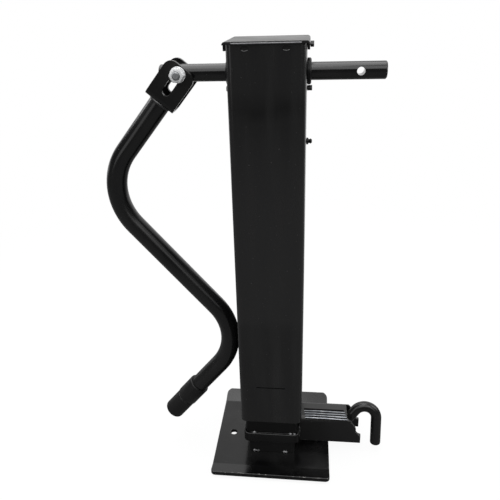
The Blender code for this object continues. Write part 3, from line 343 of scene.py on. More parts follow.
# Cap and bush screws: small hex screws of turned steel, driven in from the sides and painted over. One in
# each side holds the cap, and one under the flange of each bush keeps the bush from turning.
SCREW_SIZES = {
    "cap_screw": (5.5 * MM, 3.4 * MM, 1.7 * MM),
    "bush_screw": (5.0 * MM, 5.0 * MM, 1.5 * MM),
}
HEX_STEPS = 8
CHAMFER = math.radians(30)
CROWN_SHARE = 0.94


def aimed(origin, axis):
    """The place of a turned piece: its own Z along the axis, from the origin."""
    return Matrix.Translation(origin) @ Vector(axis).to_track_quat("Z", "X").to_matrix().to_4x4()


def hexagon(name, place, across, height, stem, depth):
    """A hexagon with its top corners turned off, on a round stem, or round a bore where depth is 0."""
    flat = across / 2
    crown = CROWN_SHARE * flat
    levels = [[] for ring in range(6)]
    count = 6 * HEX_STEPS
    for k in range(count):
        angle = 2 * math.pi * k / count
        reach = flat / math.cos((angle + math.pi / 6) % (math.pi / 3) - math.pi / 6)
        drop = (reach - crown) * math.tan(CHAMFER)
        spots = [(stem, height), (crown, height), (reach, height - drop)]
        spots += [(reach, 0.0), (stem, 0.0), (stem, -depth)]
        for ring, (radius, level) in zip(levels, spots):
            ring.append(place @ Vector((radius * math.cos(angle), radius * math.sin(angle), level)))
    if depth:
        return skinned(name, levels)
    return skinned(name, levels[:5], True)


screw_paint = black_paint("screw_paint", tone=0.004, sheen=(0.24, 0.38), dust=0.008, peel=0.2)
for kind, (across, head, stem) in SCREW_SIZES.items():
    for side, outward in (("left", -1), ("right", 1)):
        node = side + "_" + kind
        low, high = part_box(node)
        face = high.x if outward > 0 else low.x
        seat = Vector((face - outward * head, 0.0, (low.z + high.z) / 2))
        depth = high.x - low.x - head
        screw = hexagon("painted_" + node, aimed(seat, (outward, 0, 0)), across, head, stem, depth)
        hung(screw, screw_paint, "housing", finish_slot[node], node)

# Shaft bushes and grease fitting: flanged sleeves pressed into the side walls for the shaft, and a ball
# nipple driven into the right wall to grease the screw. All were in place when the tube was sprayed.
BUSH_EDGE = 0.35 * MM
FITTING_EDGE = 0.15 * MM
bush_paint = black_paint("bush_paint", tone=0.004, sheen=(0.30, 0.44), dust=0.006, peel=0.2, gloss=0.3)
eased("painted_left_bush", "left_shaft_bush", BUSH_EDGE, bush_paint)
eased("painted_right_bush", "right_shaft_bush", BUSH_EDGE, bush_paint)
eased("painted_fitting", "grease_fitting", FITTING_EDGE, bush_paint)

# Cross shaft: drawn steel bar right through the tube, chamfered at both ends and painted outside. A cross
# hole at its bare end takes the bolt of a shaft to a second jack.
SHAFT_EDGE = 0.3 * MM
shaft_paint = worn_paint(
    "shaft_paint", worn=0.4 * MM, tone=0.004, sheen=(0.10, 0.22), dust=0.009, peel=0.40, gloss=0.52
)
eased("painted_shaft", "input_shaft", SHAFT_EDGE, shaft_paint)

# Gears, bearing and lead screw: cut and turned steel running in grease inside the tube, with a bronze
# thrust washer and nut where the load slides.
TOOL_SCALE = 90.0
TOOL_DEPTH = 0.03 * MM
OIL_SCALE = 160.0
TURNED_GRAIN = (1.0, 1.0, 14.0)


def machined(name, colour, sheen, grain=EVEN, marks=0.15, metallic=1.0, fade=0.74):
    """Cut or turned metal: tool marks along the grain and a patchy film of oil or plating."""
    metal, tree, shader, place = surface(name)
    shader.inputs["Metallic"].default_value = metallic
    tooling = speckle(tree, place, TOOL_SCALE, detail=5.0, stretch=grain)
    patches = spread(tree, speckle(tree, place, OIL_SCALE, detail=3.0), *CLOUD)
    dull = tuple(fade * part for part in colour)
    tree.links.new(shades(tree, patches, dull, colour), shader.inputs["Base Color"])
    tree.links.new(spread(tree, tooling, *CLOUD, *sheen), shader.inputs["Roughness"])
    raised(tree, shader, tooling, marks, TOOL_DEPTH)
    return metal


oiled_steel = machined("oiled_steel", (0.36, 0.35, 0.34), sheen=(0.28, 0.48), grain=TURNED_GRAIN)
oiled_bronze = machined("oiled_bronze", (0.45, 0.28, 0.12), sheen=(0.34, 0.50), grain=TURNED_GRAIN)
for node, slot in finish_slot.items():
    if slot in ("plain_steel", "bronze"):
        solid = frame["nodes"][node].data
        solid.materials.clear()
        solid.materials.append(oiled_steel if slot == "plain_steel" else oiled_bronze)

# Yoke: a strap folded into a U over the shaft's end and welded to the handle. Slots in its two prongs let
# it slide out on the bolt and fold down; the edges are rubbed where it is handled.
YOKE_EDGE = 0.6 * MM
yoke_paint = worn_paint("yoke_paint", worn=0.5 * MM, tone=0.002, sheen=(0.22, 0.36), dust=0.005)
eased("painted_yoke", "handle_yoke", YOKE_EDGE, yoke_paint)

# Pivot bolt: a zinc plated hex bolt through yoke and shaft, with a washer on each side and a lock nut on
# its threaded end in front.
BOLT_ACROSS = 13.0 * MM
BOLT_RADIUS = 4.0 * MM
BOLT_HEAD = 5.3 * MM
HEAD_STUB = 1.0 * MM
SHANK_LAP = 0.5 * MM
THREAD_PITCH = 1.25 * MM
THREAD_DEPTH = 0.55 * MM
NUT_CLEARANCE = 0.2 * MM
WASHER_EDGE = 0.35 * MM
bright_zinc = machined(
    "bright_zinc", (0.86, 0.87, 0.88), sheen=(0.28, 0.44), grain=(1.0, 6.0, 1.0), marks=0.1, metallic=0.05
)
dull_zinc = machined("dull_zinc", (0.26, 0.27, 0.28), sheen=(0.40, 0.60), marks=0.8, metallic=0.3)
bolt_low, bolt_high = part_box("handle_bolt")
nut_low, nut_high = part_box("handle_nut")
pivot = (nut_low + nut_high) / 2


def circle(steps):
    """Points (x, y) in even steps round a circle of radius 1."""
    turns = [2 * math.pi * k / steps for k in range(steps)]
    return [(math.cos(turn), math.sin(turn)) for turn in turns]


def turned(name, place, profile, closed=False, steps=64):
    """A profile of (radius, level) points turned about the place's own Z."""
    rings = []
    for radius, level in profile:
        rings.append([place @ Vector((radius * x, radius * y, level)) for x, y in circle(steps)])
    return skinned(name, rings, closed)


head_seat = Vector((pivot.x, bolt_high.y - BOLT_HEAD, pivot.z))
bolt_place = aimed(head_seat, (0, 1, 0))
bolt_head = hexagon("plated_bolt_head", bolt_place, BOLT_ACROSS, BOLT_HEAD, BOLT_RADIUS, HEAD_STUB)
hung(bolt_head, bright_zinc, "crank_shaft", "zinc_plate", "handle_bolt")
shank_length = head_seat.y - bolt_low.y
thread_start = head_seat.y - nut_high.y
shank = [(BOLT_RADIUS, SHANK_LAP), (BOLT_RADIUS, -thread_start)]
level = thread_start
while level + THREAD_PITCH < shank_length:
    shank.append((BOLT_RADIUS - THREAD_DEPTH, -level - THREAD_PITCH / 2))
    shank.append((BOLT_RADIUS, -level - THREAD_PITCH))
    level += THREAD_PITCH
shank.append((BOLT_RADIUS - 2 * THREAD_DEPTH, -shank_length))
hung(turned("plated_bolt_shank", bolt_place, shank), dull_zinc, "crank_shaft", "zinc_plate")
nut_place = aimed(Vector((pivot.x, nut_high.y, pivot.z)), (0, -1, 0))
nut_height = nut_high.y - nut_low.y
nut = hexagon("plated_nut", nut_place, BOLT_ACROSS, nut_height, BOLT_RADIUS + NUT_CLEARANCE, 0.0)
hung(nut, bright_zinc, "crank_shaft", "zinc_plate", "handle_nut")
eased("plated_front_washer", "front_handle_washer", WASHER_EDGE, bright_zinc)
eased("plated_back_washer", "back_handle_washer", WASHER_EDGE, bright_zinc)

# Crank handle: one length of round steel tube bent twice, welded to the foot of the yoke and painted. It
# hangs folded from the pivot bolt, with its second bend close beside the tube.
HANDLE_RADIUS = 11.5 * MM
HANDLE_START = 36.8 * MM
HANDLE_UPPER = 162.0 * MM
HANDLE_THROW = 250.0 * MM
HANDLE_LOWER = 159.0 * MM
HANDLE_BEND = 67.0 * MM
HANDLE_TURN = math.radians(80)
HANDLE_REST = 2.8 * MM
HANDLE_SIDES = 48
BEND_STEP = math.radians(3)


def bent(corners):
    """A flat path through (x, y, radius) corners, each rounded by its radius."""
    path = [Vector(corners[0][:2])]
    for before, (x, y, radius), after in zip(corners, corners[1:], corners[2:]):
        corner = Vector((x, y))
        back = (Vector(before[:2]) - corner).normalized()
        ahead = (Vector(after[:2]) - corner).normalized()
        half = back.angle(ahead) / 2
        centre = corner + (back + ahead).normalized() * radius / math.sin(half)
        start = corner + back * radius / math.tan(half) - centre
        sweep = start.angle_signed(corner + ahead * radius / math.tan(half) - centre)
        steps = math.ceil(abs(sweep) / BEND_STEP)
        path += [centre + Matrix.Rotation(-sweep * k / steps, 2) @ start for k in range(steps + 1)]
    return path + [Vector(corners[-1][:2])]


def pipe(name, place, path, radii, sides):
    """A round bar along a flat path in the place's own XY plane, with a radius at every point."""
    rings = []
    for k, point in enumerate(path):
        run = (path[min(k + 1, len(path) - 1)] - path[max(k - 1, 0)]).normalized()
        side = Vector((-run.y, run.x))
        ring = []
        for x, y in circle(sides):
            across = point + side * radii[k] * x
            ring.append(place @ Vector((across.x, across.y, radii[k] * y)))
        rings.append(ring)
    return skinned(name, rings)


second = Vector((HANDLE_UPPER, 0.0)) + HANDLE_THROW * Vector((math.cos(HANDLE_TURN), math.sin(HANDLE_TURN)))
elbow = second + HANDLE_BEND * Vector((math.tan(HANDLE_TURN / 2), -1.0))
elbow_x = tube_low.x - HANDLE_REST - HANDLE_BEND - HANDLE_RADIUS - pivot.x
lean = math.acos(-elbow_x / elbow.length) - math.atan2(elbow.y, elbow.x)
down = Vector((-math.cos(lean), 0.0, -math.sin(lean)))
inward = Vector((math.sin(lean), 0.0, -math.cos(lean)))
handle_plane = Matrix((down, inward, down.cross(inward))).transposed().to_4x4()
handle_plane.translation = Vector((pivot.x, 0.0, pivot.z))
handle_end = second + Vector((HANDLE_LOWER, 0.0))
first_bend, second_bend = (HANDLE_UPPER, 0.0, HANDLE_BEND), (*second, HANDLE_BEND)
handle_line = bent([(HANDLE_START, 0.0), first_bend, second_bend, tuple(handle_end)])
handle = pipe("painted_handle", handle_plane, handle_line, [HANDLE_RADIUS] * len(handle_line), HANDLE_SIDES)
handle_paint = black_paint("handle_paint", tone=0.004, sheen=(0.16, 0.28), dust=0.007, peel=0.08)
hung(handle, handle_paint, "handle", "black_paint", "handle_tube")

# Grip: a sleeve of black vinyl, moulded with a closed round end and a thicker half, and a groove at the step
# between them. It is pushed on over the free end of the handle.
GRIP_LENGTH = 58.0 * MM
GRIP_STEP = 28.0 * MM
GRIP_RADIUS = 13.7 * MM
GRIP_TAIL = 13.0 * MM
GRIP_END = 3.3 * MM
GRIP_ROUND = 4.0 * MM
GRIP_EDGE = 0.9 * MM
GRIP_CENTRE = 0.5 * MM
GROOVE_DEPTH = 0.5 * MM
GROOVE_TOP, GROOVE_FLOOR, GROOVE_FOOT = 1.6 * MM, 1.2 * MM, 0.4 * MM
STEP_ROUND, STEP_DROP = 0.3 * MM, 0.6 * MM
GRIP_FIT, GRIP_GAP = 0.05 * MM, 0.1 * MM
ROUND_STEPS = 8
EDGE_STEPS = 5
step = GRIP_STEP - GRIP_LENGTH
groove = GRIP_TAIL - GROOVE_DEPTH
bore = HANDLE_RADIUS + GRIP_FIT
grip = [(GRIP_CENTRE, GRIP_END)]
for k in range(ROUND_STEPS + 1):
    angle = math.pi / 2 * k / ROUND_STEPS
    radius = GRIP_TAIL - GRIP_ROUND * (1 - math.sin(angle))
    grip.append((radius, GRIP_END - GRIP_ROUND * (1 - math.cos(angle))))
grip += [(GRIP_TAIL, step + GROOVE_TOP), (groove, step + GROOVE_FLOOR), (groove, step + GROOVE_FOOT)]
grip += [(GRIP_RADIUS - STEP_ROUND, step), (GRIP_RADIUS, step - STEP_DROP)]
grip.append((GRIP_RADIUS, -GRIP_LENGTH + GRIP_EDGE))
for k in range(1, EDGE_STEPS + 1):
    angle = math.pi / 2 * k / EDGE_STEPS
    radius = GRIP_RADIUS - GRIP_EDGE * (1 - math.cos(angle))
    grip.append((radius, GRIP_EDGE * (1 - math.sin(angle)) - GRIP_LENGTH))
grip += [(bore, -GRIP_LENGTH), (bore, GRIP_GAP), (GRIP_CENTRE, GRIP_GAP)]
grip_place = aimed(handle_plane @ Vector((*handle_end, 0.0)), down)
vinyl = black_paint("grip_vinyl", tone=0.004, sheen=(0.28, 0.42), dust=0.004, peel=0.25, gloss=0.35)
hung(turned("vinyl_grip", grip_place, grip, True), vinyl, "handle", "black_grip", "handle_grip")

# Handle weld: a bead of steel weld metal, run right round the handle where it meets the foot of the yoke, and
# painted over with them.
HANDLE_BEAD = 1.9 * MM
HANDLE_BEAD_STEPS = 120
BEAD_SIDES = 12
BEAD_RIPPLE, RIPPLE_RISE = 1.6 * MM, 0.10
BEAD_WAVER, WAVER_RISE = 31.0, 0.06
BEAD_START, BEAD_TAPER = 0.25, 1.5
UPRIGHT = 0.9
weld_paint = black_paint("weld_paint", tone=0.006, sheen=(0.08, 0.20), dust=0.010, peel=0.5, gloss=1.0)


def bead(name, line, radius, body, lumps=(), loop=False, metal=weld_paint):
    """A run of weld along a line: overlapping ripples that swell at lumps and die away at open ends."""
    rings = []
    run = 0.0
    length = sum((b - a).length for a, b in zip(line, line[1:]))
    for k, point in enumerate(line):
        if k:
            run += (point - line[k - 1]).length
        ahead = line[(k + 1) % len(line)] if loop else line[min(k + 1, len(line) - 1)]
        behind = line[k - 1] if loop else line[max(k - 1, 0)]
        heading = (ahead - behind).normalized()
        level = abs(heading.z) <= UPRIGHT
        side = (heading.cross((0, 0, 1)) if level else heading.orthogonal()).normalized()
        up = side.cross(heading)
        swell = 1.0 + RIPPLE_RISE * math.sin(2 * math.pi * run / BEAD_RIPPLE)
        swell += WAVER_RISE * math.sin(BEAD_WAVER * run / radius)
        for spot, rise, reach in lumps:
            swell += rise * math.exp(-((run - spot) / reach) ** 2)
        if not loop:
            swell *= min(1.0, BEAD_START + min(run, length - run) / (BEAD_TAPER * radius))
        rings.append([point + radius * swell * (x * side + y * up) for x, y in circle(BEAD_SIDES)])
    piece = skinned(name, rings, loop)
    piece.data.set_sharp_from_angle(angle=math.pi)
    return hung(piece, metal, body, "black_paint")


handle_seam = []
for x, y in circle(HANDLE_BEAD_STEPS):
    handle_seam.append(handle_plane @ Vector((HANDLE_START, HANDLE_RADIUS * x, HANDLE_RADIUS * y)))
bead("handle_weld", handle_seam, HANDLE_BEAD, "handle", loop=True)

# Stop lips and cap edge: a thin bead at the foot of each stop in the tube, and one along the cap's front
# edge. Their grey metal is painted highlight, where those edges catch the light.
LIP_HALF = 3.2 * MM
LIP_X, LIP_Z = 19.3 * MM, 503.8 * MM
LIP_SAG = 0.7 * MM
LIP_RADIUS = 0.35 * MM
CAP_HIGHLIGHT_LEFT, CAP_HIGHLIGHT_RIGHT = -32.5 * MM, 33.5 * MM
CAP_HIGHLIGHT_DROP = 1.75 * MM
CAP_HIGHLIGHT_RADIUS = 0.72 * MM
CAP_HIGHLIGHT_GRAIN = (14.0, 1.0, 1.0)
LINE_STEP = 0.4 * MM


def straight(start, end):
    """Points along a straight run."""
    start = Vector(start)
    end = Vector(end)
    count = round((end - start).length / LINE_STEP)
    return [start.lerp(end, k / count) for k in range(count + 1)]


# Grey metal on the stop lips: painted highlight.
lip_highlight_grey = machined("lip_highlight_grey", (0.15, 0.15, 0.15), sheen=(0.30, 0.50), marks=0.4, metallic=0.3)
for side, x in (("left", -LIP_X), ("right", LIP_X)):
    highlight_line = straight((x - LIP_HALF, tube_low.y, LIP_Z), (x + LIP_HALF, tube_low.y, LIP_Z))
    for point in highlight_line:
        point.z += LIP_SAG * ((point.x - x) / LIP_HALF) ** 2
    bead(side + "_stop_highlight", highlight_line, LIP_RADIUS, "housing", metal=lip_highlight_grey)
cap_low, cap_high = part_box("top_cap")
cap_highlight_z = cap_high.z - CAP_HIGHLIGHT_DROP
highlight_line = straight((CAP_HIGHLIGHT_LEFT, cap_low.y, cap_highlight_z), (CAP_HIGHLIGHT_RIGHT, cap_low.y, cap_highlight_z))
# Grey metal under the cap's front edge: painted highlight.
cap_edge_highlight_grey = machined(
    "cap_edge_highlight_grey", (0.22, 0.22, 0.23), sheen=(0.35, 0.55), grain=CAP_HIGHLIGHT_GRAIN, marks=0.4, metallic=0.3
)
bead("cap_edge_highlight", highlight_line, CAP_HIGHLIGHT_RADIUS, "housing", metal=cap_edge_highlight_grey)

# Inner leg: a thinner square steel tube, painted, and driven up and down inside the outer one by the screw.
# Only its lower end stands out at rest, and its black is darker than the tube's: painted shade under it.
LEG_EDGE = 0.5 * MM
# A darker copy of the black enamel: painted shade under the outer tube.
shaded_leg_paint = black_paint("inner_leg_painted_shade", tone=0.0015, sheen=(0.28, 0.42), dust=0.003, gloss=0.28)
eased("painted_inner_tube", "inner_tube", LEG_EDGE, shaded_leg_paint)
inner_low, inner_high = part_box("inner_tube")

# Band: flat steel bar folded round the lower end of the inner leg, where the plunger goes through. It is
# sealed to the leg by a thin run of weld and held by tacks, whose bright patches are painted highlights.
BAND_EDGE = 0.6 * MM
BAND_RUN_LEFT, BAND_RUN_RIGHT = -27.0 * MM, 31.0 * MM
BAND_RUN = 0.55 * MM
BAND_TACKS = {
    "left": (-21.7 * MM, 2.8 * MM),
    "middle": (24.4 * MM, 2.3 * MM),
    "right": (29.3 * MM, 1.9 * MM),
}
BAND_TACK = 1.2 * MM
BAND_TACK_LIFT = 0.3 * MM
BAND_TACK_SWELL = 0.4
band_paint = worn_paint(
    "band_paint", worn=0.3 * MM, tone=0.003, sheen=(0.20, 0.32), dust=0.005, peel=0.15, gloss=0.45
)
eased("painted_band", "leg_collar", BAND_EDGE, band_paint)
# Bright patches of grey metal on the tacks: painted highlights on the lumpy weld.
weld_tack_highlight = machined(
    "weld_tack_highlight", (0.40, 0.40, 0.41), sheen=(0.10, 0.26), marks=0.6, metallic=0.5, fade=0.02
)
band_low, band_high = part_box("leg_collar")
tack_z = band_high.z + BAND_TACK_LIFT
for side, y in (("front", inner_low.y), ("back", inner_high.y)):
    run = straight((BAND_RUN_LEFT, y, band_high.z), (BAND_RUN_RIGHT, y, band_high.z))
    bead(side + "_band_weld", run, BAND_RUN, "inner_leg", metal=band_paint)
    for end, (x, half) in BAND_TACKS.items():
        run = straight((x - half, y, tack_z), (x + half, y, tack_z))
        lumps = ((half, BAND_TACK_SWELL, half / 2),)
        bead(side + "_" + end + "_band_tack", run, BAND_TACK, "inner_leg", lumps, metal=weld_tack_highlight)

# Plunger bracket: a channel folded from flat bar and welded to the band. Its open end is cut to a ramp and
# a notch that hold the handle drawn, and a guide plate is welded across inside.
BRACKET_EDGE = 0.5 * MM
GUIDE_EDGE = 0.4 * MM
BRACKET_BEAD = 1.8 * MM
BRACKET_BEAD_INSET = 1.0 * MM
BRACKET_LUMP = (4.0 * MM, 0.25, 2.0 * MM)
bracket_paint = worn_paint(
    "bracket_paint", worn=0.6 * MM, tone=0.002, sheen=(0.22, 0.36), dust=0.005, gloss=0.58
)
eased("painted_bracket", "plunger_bracket", BRACKET_EDGE, bracket_paint)
eased("painted_guide", "plunger_guide", GUIDE_EDGE, bracket_paint)
bracket_low, bracket_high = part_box("plunger_bracket")
weld_foot, weld_top = band_low.z + BRACKET_BEAD_INSET, band_high.z - BRACKET_BEAD_INSET
for side, y in (("front", bracket_low.y), ("back", bracket_high.y)):
    run = straight((band_high.x, y, weld_foot), (band_high.x, y, weld_top))
    bead(side + "_bracket_weld", run, BRACKET_BEAD, "inner_leg", (BRACKET_LUMP,))

# Foil strip: a bare silver strip with a black rim, ribbed along its length, stuck along the front half of
# the bracket's top and pressed down over its front bend. Both ends are cut askew. The grooves between its
# ribs are painted black, as painted shade.
STRIP_START, STRIP_END = 41.3 * MM, 97.2 * MM
START_SKEW, END_SKEW = 2.2 * MM, 3.4 * MM
STRIP_BACK = -1.5 * MM
STRIP_RIM = 3.0 * MM
RIM_FADE = 0.3 * MM
STRIP_THICK = 0.15 * MM
STRIP_WRAP = math.radians(56)
WRAP_STEPS = 8
BRACKET_BEND = 6.0 * MM
RIB_PITCH = 2.9 * MM
RIB_TILT = math.radians(42)
RIB_EDGE = (-0.15, 0.75)
RIB_DEPTH, RIB_RISE = 0.05 * MM, 0.2
RIB_WANDER = 2.6
WANDER_SCALE, WANDER_STRETCH = 60.0, (0.5, 1.0, 1.0)
GLINT_SCALE, GLINT_STRETCH = 110.0, (1.0, 0.4, 0.4)
GLINT_EDGE = (0.35, 0.65)
GREY_FOIL, SILVER_FOIL = (0.19, 0.20, 0.22), (0.36, 0.37, 0.39)
RIM_BLACK_AND_GROOVE_SHADE = (0.004, 0.004, 0.004)
FOIL_METAL = 0.6
RIM_ROUGH, FOIL_ROUGH = 0.50, 0.32
RIM_GLOSS, FOIL_GLOSS = 0.02, 0.50
foil, tree, shader, place = surface("ribbed_foil")
shader.inputs["Metallic"].default_value = FOIL_METAL
rib_heading = (0.0, math.sin(RIB_TILT), math.cos(RIB_TILT))
across_ribs = worked(tree, "ShaderNodeVectorMath", "DOT_PRODUCT", place, rib_heading)
drift = speckle(tree, place, WANDER_SCALE, detail=2.0, stretch=WANDER_STRETCH)
wander = spread(tree, drift, *CLOUD, 0.0, RIB_WANDER)
phase = worked(tree, "ShaderNodeMath", "MULTIPLY_ADD", across_ribs, 2 * math.pi / RIB_PITCH, wander)
ribs = spread(tree, worked(tree, "ShaderNodeMath", "SINE", phase), *RIB_EDGE)
inside = spread(tree, along(tree, place, "Y"), STRIP_BACK, STRIP_BACK - RIM_FADE)
silver = worked(tree, "ShaderNodeMath", "MULTIPLY", ribs, inside)
glint = speckle(tree, place, GLINT_SCALE, detail=2.0, stretch=GLINT_STRETCH)
bright = shades(tree, spread(tree, glint, *GLINT_EDGE), GREY_FOIL, SILVER_FOIL)
# Black in the grooves between the ribs: painted shade.
tree.links.new(shades(tree, silver, RIM_BLACK_AND_GROOVE_SHADE, bright), shader.inputs["Base Color"])
tree.links.new(spread(tree, silver, 0.0, 1.0, RIM_ROUGH, FOIL_ROUGH), shader.inputs["Roughness"])
tree.links.new(spread(tree, silver, 0.0, 1.0, RIM_GLOSS, FOIL_GLOSS), shader.inputs["Specular IOR Level"])
raised(tree, shader, silver, RIB_RISE, RIB_DEPTH)
bend_y, bend_z = bracket_low.y + BRACKET_BEND, bracket_high.z - BRACKET_BEND
under, over = [], []
for path, lift in ((under, 0.0), (over, STRIP_THICK)):
    path.append((STRIP_BACK + STRIP_RIM, bracket_high.z + lift))
    reach = BRACKET_BEND + lift
    for k in range(WRAP_STEPS + 1):
        angle = STRIP_WRAP * k / WRAP_STEPS
        path.append((bend_y - reach * math.sin(angle), bend_z + reach * math.cos(angle)))
section = under + over[::-1]
strip_depth = STRIP_BACK - min(y for y, z in section)
rings = []
for x, skew in ((STRIP_START, START_SKEW), (STRIP_END - END_SKEW, END_SKEW)):
    rings.append([Vector((x + skew * (STRIP_BACK - y) / strip_depth, y, z)) for y, z in section])
hung(skinned("foil_strip", rings), foil, "inner_leg", "zinc_plate")

# Plunger: a round steel pin bent to a J for the hand and painted, its nose chamfered to find the hole in the
# leg. A cross pin through it holds a plated washer, on which the spring bears.
PLUNGER_RADIUS = 6.75 * MM
PLUNGER_SIDES = 40
J_TILT = math.radians(15)
J_SLOPE = math.radians(52)
J_ROOT = 95.3 * MM
J_ARCH = 15.2 * MM
J_BEND = 14.0 * MM
J_TOP = 22.7 * MM
J_LEG = 29.5 * MM
NOSE_CHAMFER = 1.5 * MM
TIP_STEPS = 6
TIP_LENGTH, TIP_FLAT = 0.5, 0.45
SPRING_WASHER_EDGE = 0.3 * MM
nose_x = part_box("plunger_pin")[0].x
plunger_z = next(joint["pos_m"][2] for joint in frame["joints"] if joint["name"] == "pin_turn")
slope_run = (J_TOP - J_ARCH * (1 - math.cos(J_SLOPE))) / math.tan(J_SLOPE)
leg_x = J_ROOT + slope_run + J_ARCH * (1 + math.sin(J_SLOPE))
arch_y = (leg_x - J_ROOT) * math.tan(J_SLOPE)
j_line = bent([(nose_x, 0.0), (J_ROOT, 0.0, J_BEND), (leg_x, arch_y, J_ARCH), (leg_x, -J_LEG)])
j_line.insert(1, j_line[0] + Vector((NOSE_CHAMFER, 0.0)))
radii = [PLUNGER_RADIUS - NOSE_CHAMFER] + [PLUNGER_RADIUS] * (len(j_line) - 2)
tip = j_line.pop()
for k in range(TIP_STEPS + 1):
    angle = math.pi / 2 * k / TIP_STEPS
    j_line.append(tip + Vector((0.0, TIP_LENGTH * PLUNGER_RADIUS * (1 - math.sin(angle)))))
    radii.append(PLUNGER_RADIUS * (TIP_FLAT + (1 - TIP_FLAT) * math.cos(angle)))
pin_axis = Vector((1, 0, 0))
j_up = Vector((0.0, math.sin(J_TILT), math.cos(J_TILT)))
j_plane = Matrix((pin_axis, j_up, pin_axis.cross(j_up))).transposed().to_4x4()
j_plane.translation = Vector((0.0, 0.0, plunger_z))
plunger = pipe("painted_plunger", j_plane, j_line, radii, PLUNGER_SIDES)
plunger_paint = black_paint("plunger_paint", tone=0.005, sheen=(0.12, 0.24), dust=0.006, gloss=0.42)
hung(plunger, plunger_paint, "plunger", "black_paint", "plunger_pin")
eased("plated_spring_washer", "plunger_washer", SPRING_WASHER_EDGE, bright_zinc)

# Plunger spring: plated steel wire wound in an open coil round the pin, between the washer and the guide
# plate. It drives the pin home and is pressed shorter as the pin is drawn.
SPRING_WIRE = 0.9 * MM
SPRING_RADIUS = 9.2 * MM
SPRING_TURNS = 6
SPRING_STEPS = 32
WIRE_SIDES = 12
spring_low, spring_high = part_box("plunger_spring")
spring_length = spring_high.x - spring_low.x
rings = []
for k in range(SPRING_TURNS * SPRING_STEPS + 1):
    share = k / (SPRING_TURNS * SPRING_STEPS)
    angle = 2 * math.pi * k / SPRING_STEPS
    coil_x = spring_low.x + SPRING_WIRE + (spring_length - 2 * SPRING_WIRE) * share
    out = Vector((0.0, math.cos(angle), math.sin(angle)))
    middle = Vector((coil_x, 0.0, plunger_z)) + SPRING_RADIUS * out
    rings.append([middle + SPRING_WIRE * (x * out + y * pin_axis) for x, y in circle(WIRE_SIDES)])
spring = hung(skinned("plated_spring", rings), bright_zinc, "inner_leg", "zinc_plate", "plunger_spring")
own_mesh(spring)

# Drop leg: the inmost square steel tube, punched with a row of pin holes, painted, and held at the height
# wanted by the plunger in one of them.
DROP_LEG_EDGE = 0.5 * MM
drop_leg_paint = black_paint("drop_leg_paint", tone=0.003, sheen=(0.24, 0.36), dust=0.004)
eased("painted_drop_leg", "drop_leg_tube", DROP_LEG_EDGE, drop_leg_paint)
leg_low, leg_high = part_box("drop_leg_tube")

# Foot plate: pressed steel plate with its front and back edges turned up, tacked to the drop leg by weld
# whose bright patches are painted highlights. The paint is worn through along the plate's rim.
FOOT_EDGE = 0.5 * MM
FOOT_TACKS = {
    "left": (-20.3 * MM, 4.6 * MM, 2.7 * MM),
    "right": (17.7 * MM, 3.6 * MM, 1.5 * MM),
}
FOOT_TACK = 1.0 * MM
FOOT_TACK_LIFT = 1.2 * MM
FOOT_LUMP = 1.2 * MM
FOOT_LUMP_SWELLS = (1.3, 1.1)
foot_paint = worn_paint(
    "foot_paint", worn=1.4 * MM, bare=0.3, tone=0.002, sheen=(0.14, 0.28), dust=0.007, peel=0.10, gloss=0.42
)
eased("painted_foot", "foot_plate", FOOT_EDGE, foot_paint)
tack_z = leg_low.z + FOOT_TACK_LIFT
for side, y in (("front", leg_low.y), ("back", leg_high.y)):
    for end, (x, half, apart) in FOOT_TACKS.items():
        run = straight((x - half, y, tack_z), (x + half, y, tack_z))
        spots = (half - apart, half + apart)
        lumps = [(spot, swell, FOOT_LUMP) for spot, swell in zip(spots, FOOT_LUMP_SWELLS)]
        bead(side + "_" + end + "_foot_tack", run, FOOT_TACK, "drop_leg", lumps, metal=weld_tack_highlight)

# Floor: a wide white sweep under the foot, which keeps the soft shadow near it and is plain white further
# off. Reflections see it dark in front of the jack, so that the gloss paint reads black.
FLOOR_HALF = 40.0
FLOOR_GAP = 0.2 * MM
FLOOR_DARK, FLOOR_PALE = (0.14, 0.14, 0.14), (0.82, 0.82, 0.82)
FLOOR_ROUGH = 0.9
PALE_FROM, PALE_TO = 0.50, 2.0
SHADOW_FROM, SHADOW_TO = 0.3, 1.0
SHADOW_WHITE = 0.92
grid = bmesh.new()
bmesh.ops.create_grid(grid, x_segments=1, y_segments=1, size=FLOOR_HALF)
floor = linked("floor", grid)
floor.location.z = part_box("foot_plate")[0].z - FLOOR_GAP


def seen_white(tree, behind):
    """How far a ray sees the plain white backdrop: the camera's own, and a reflection's behind the jack."""
    path = tree.nodes.new("ShaderNodeLightPath").outputs
    bounced = worked(tree, "ShaderNodeMath", "MAXIMUM", path["Is Glossy Ray"], path["Is Transmission Ray"])
    reflected = worked(tree, "ShaderNodeMath", "MULTIPLY", bounced, behind)
    return worked(tree, "ShaderNodeMath", "MAXIMUM", path["Is Camera Ray"], reflected)


white_sweep, tree, shader, place = surface("white_sweep")
pale = seen_white(tree, spread(tree, along(tree, place, "Y"), PALE_FROM, PALE_TO))
tree.links.new(shades(tree, pale, FLOOR_DARK, FLOOR_PALE), shader.inputs["Base Color"])
shader.inputs["Roughness"].default_value = FLOOR_ROUGH
shader.inputs["Specular IOR Level"].default_value = 0.0
away = worked(tree, "ShaderNodeVectorMath", "LENGTH", place)
clear = spread(tree, away, SHADOW_FROM, SHADOW_TO, SHADOW_WHITE, 1.0)
white = tree.nodes.new("ShaderNodeEmission")
mixed = tree.nodes.new("ShaderNodeMixShader")
tree.links.new(worked(tree, "ShaderNodeMath", "MULTIPLY", pale, clear), mixed.inputs["Fac"])
tree.links.new(shader.outputs["BSDF"], mixed.inputs[1])
tree.links.new(white.outputs["Emission"], mixed.inputs[2])
tree.links.new(mixed.outputs["Shader"], tree.nodes["Material Output"].inputs["Surface"])
floor.data.materials.append(white_sweep)

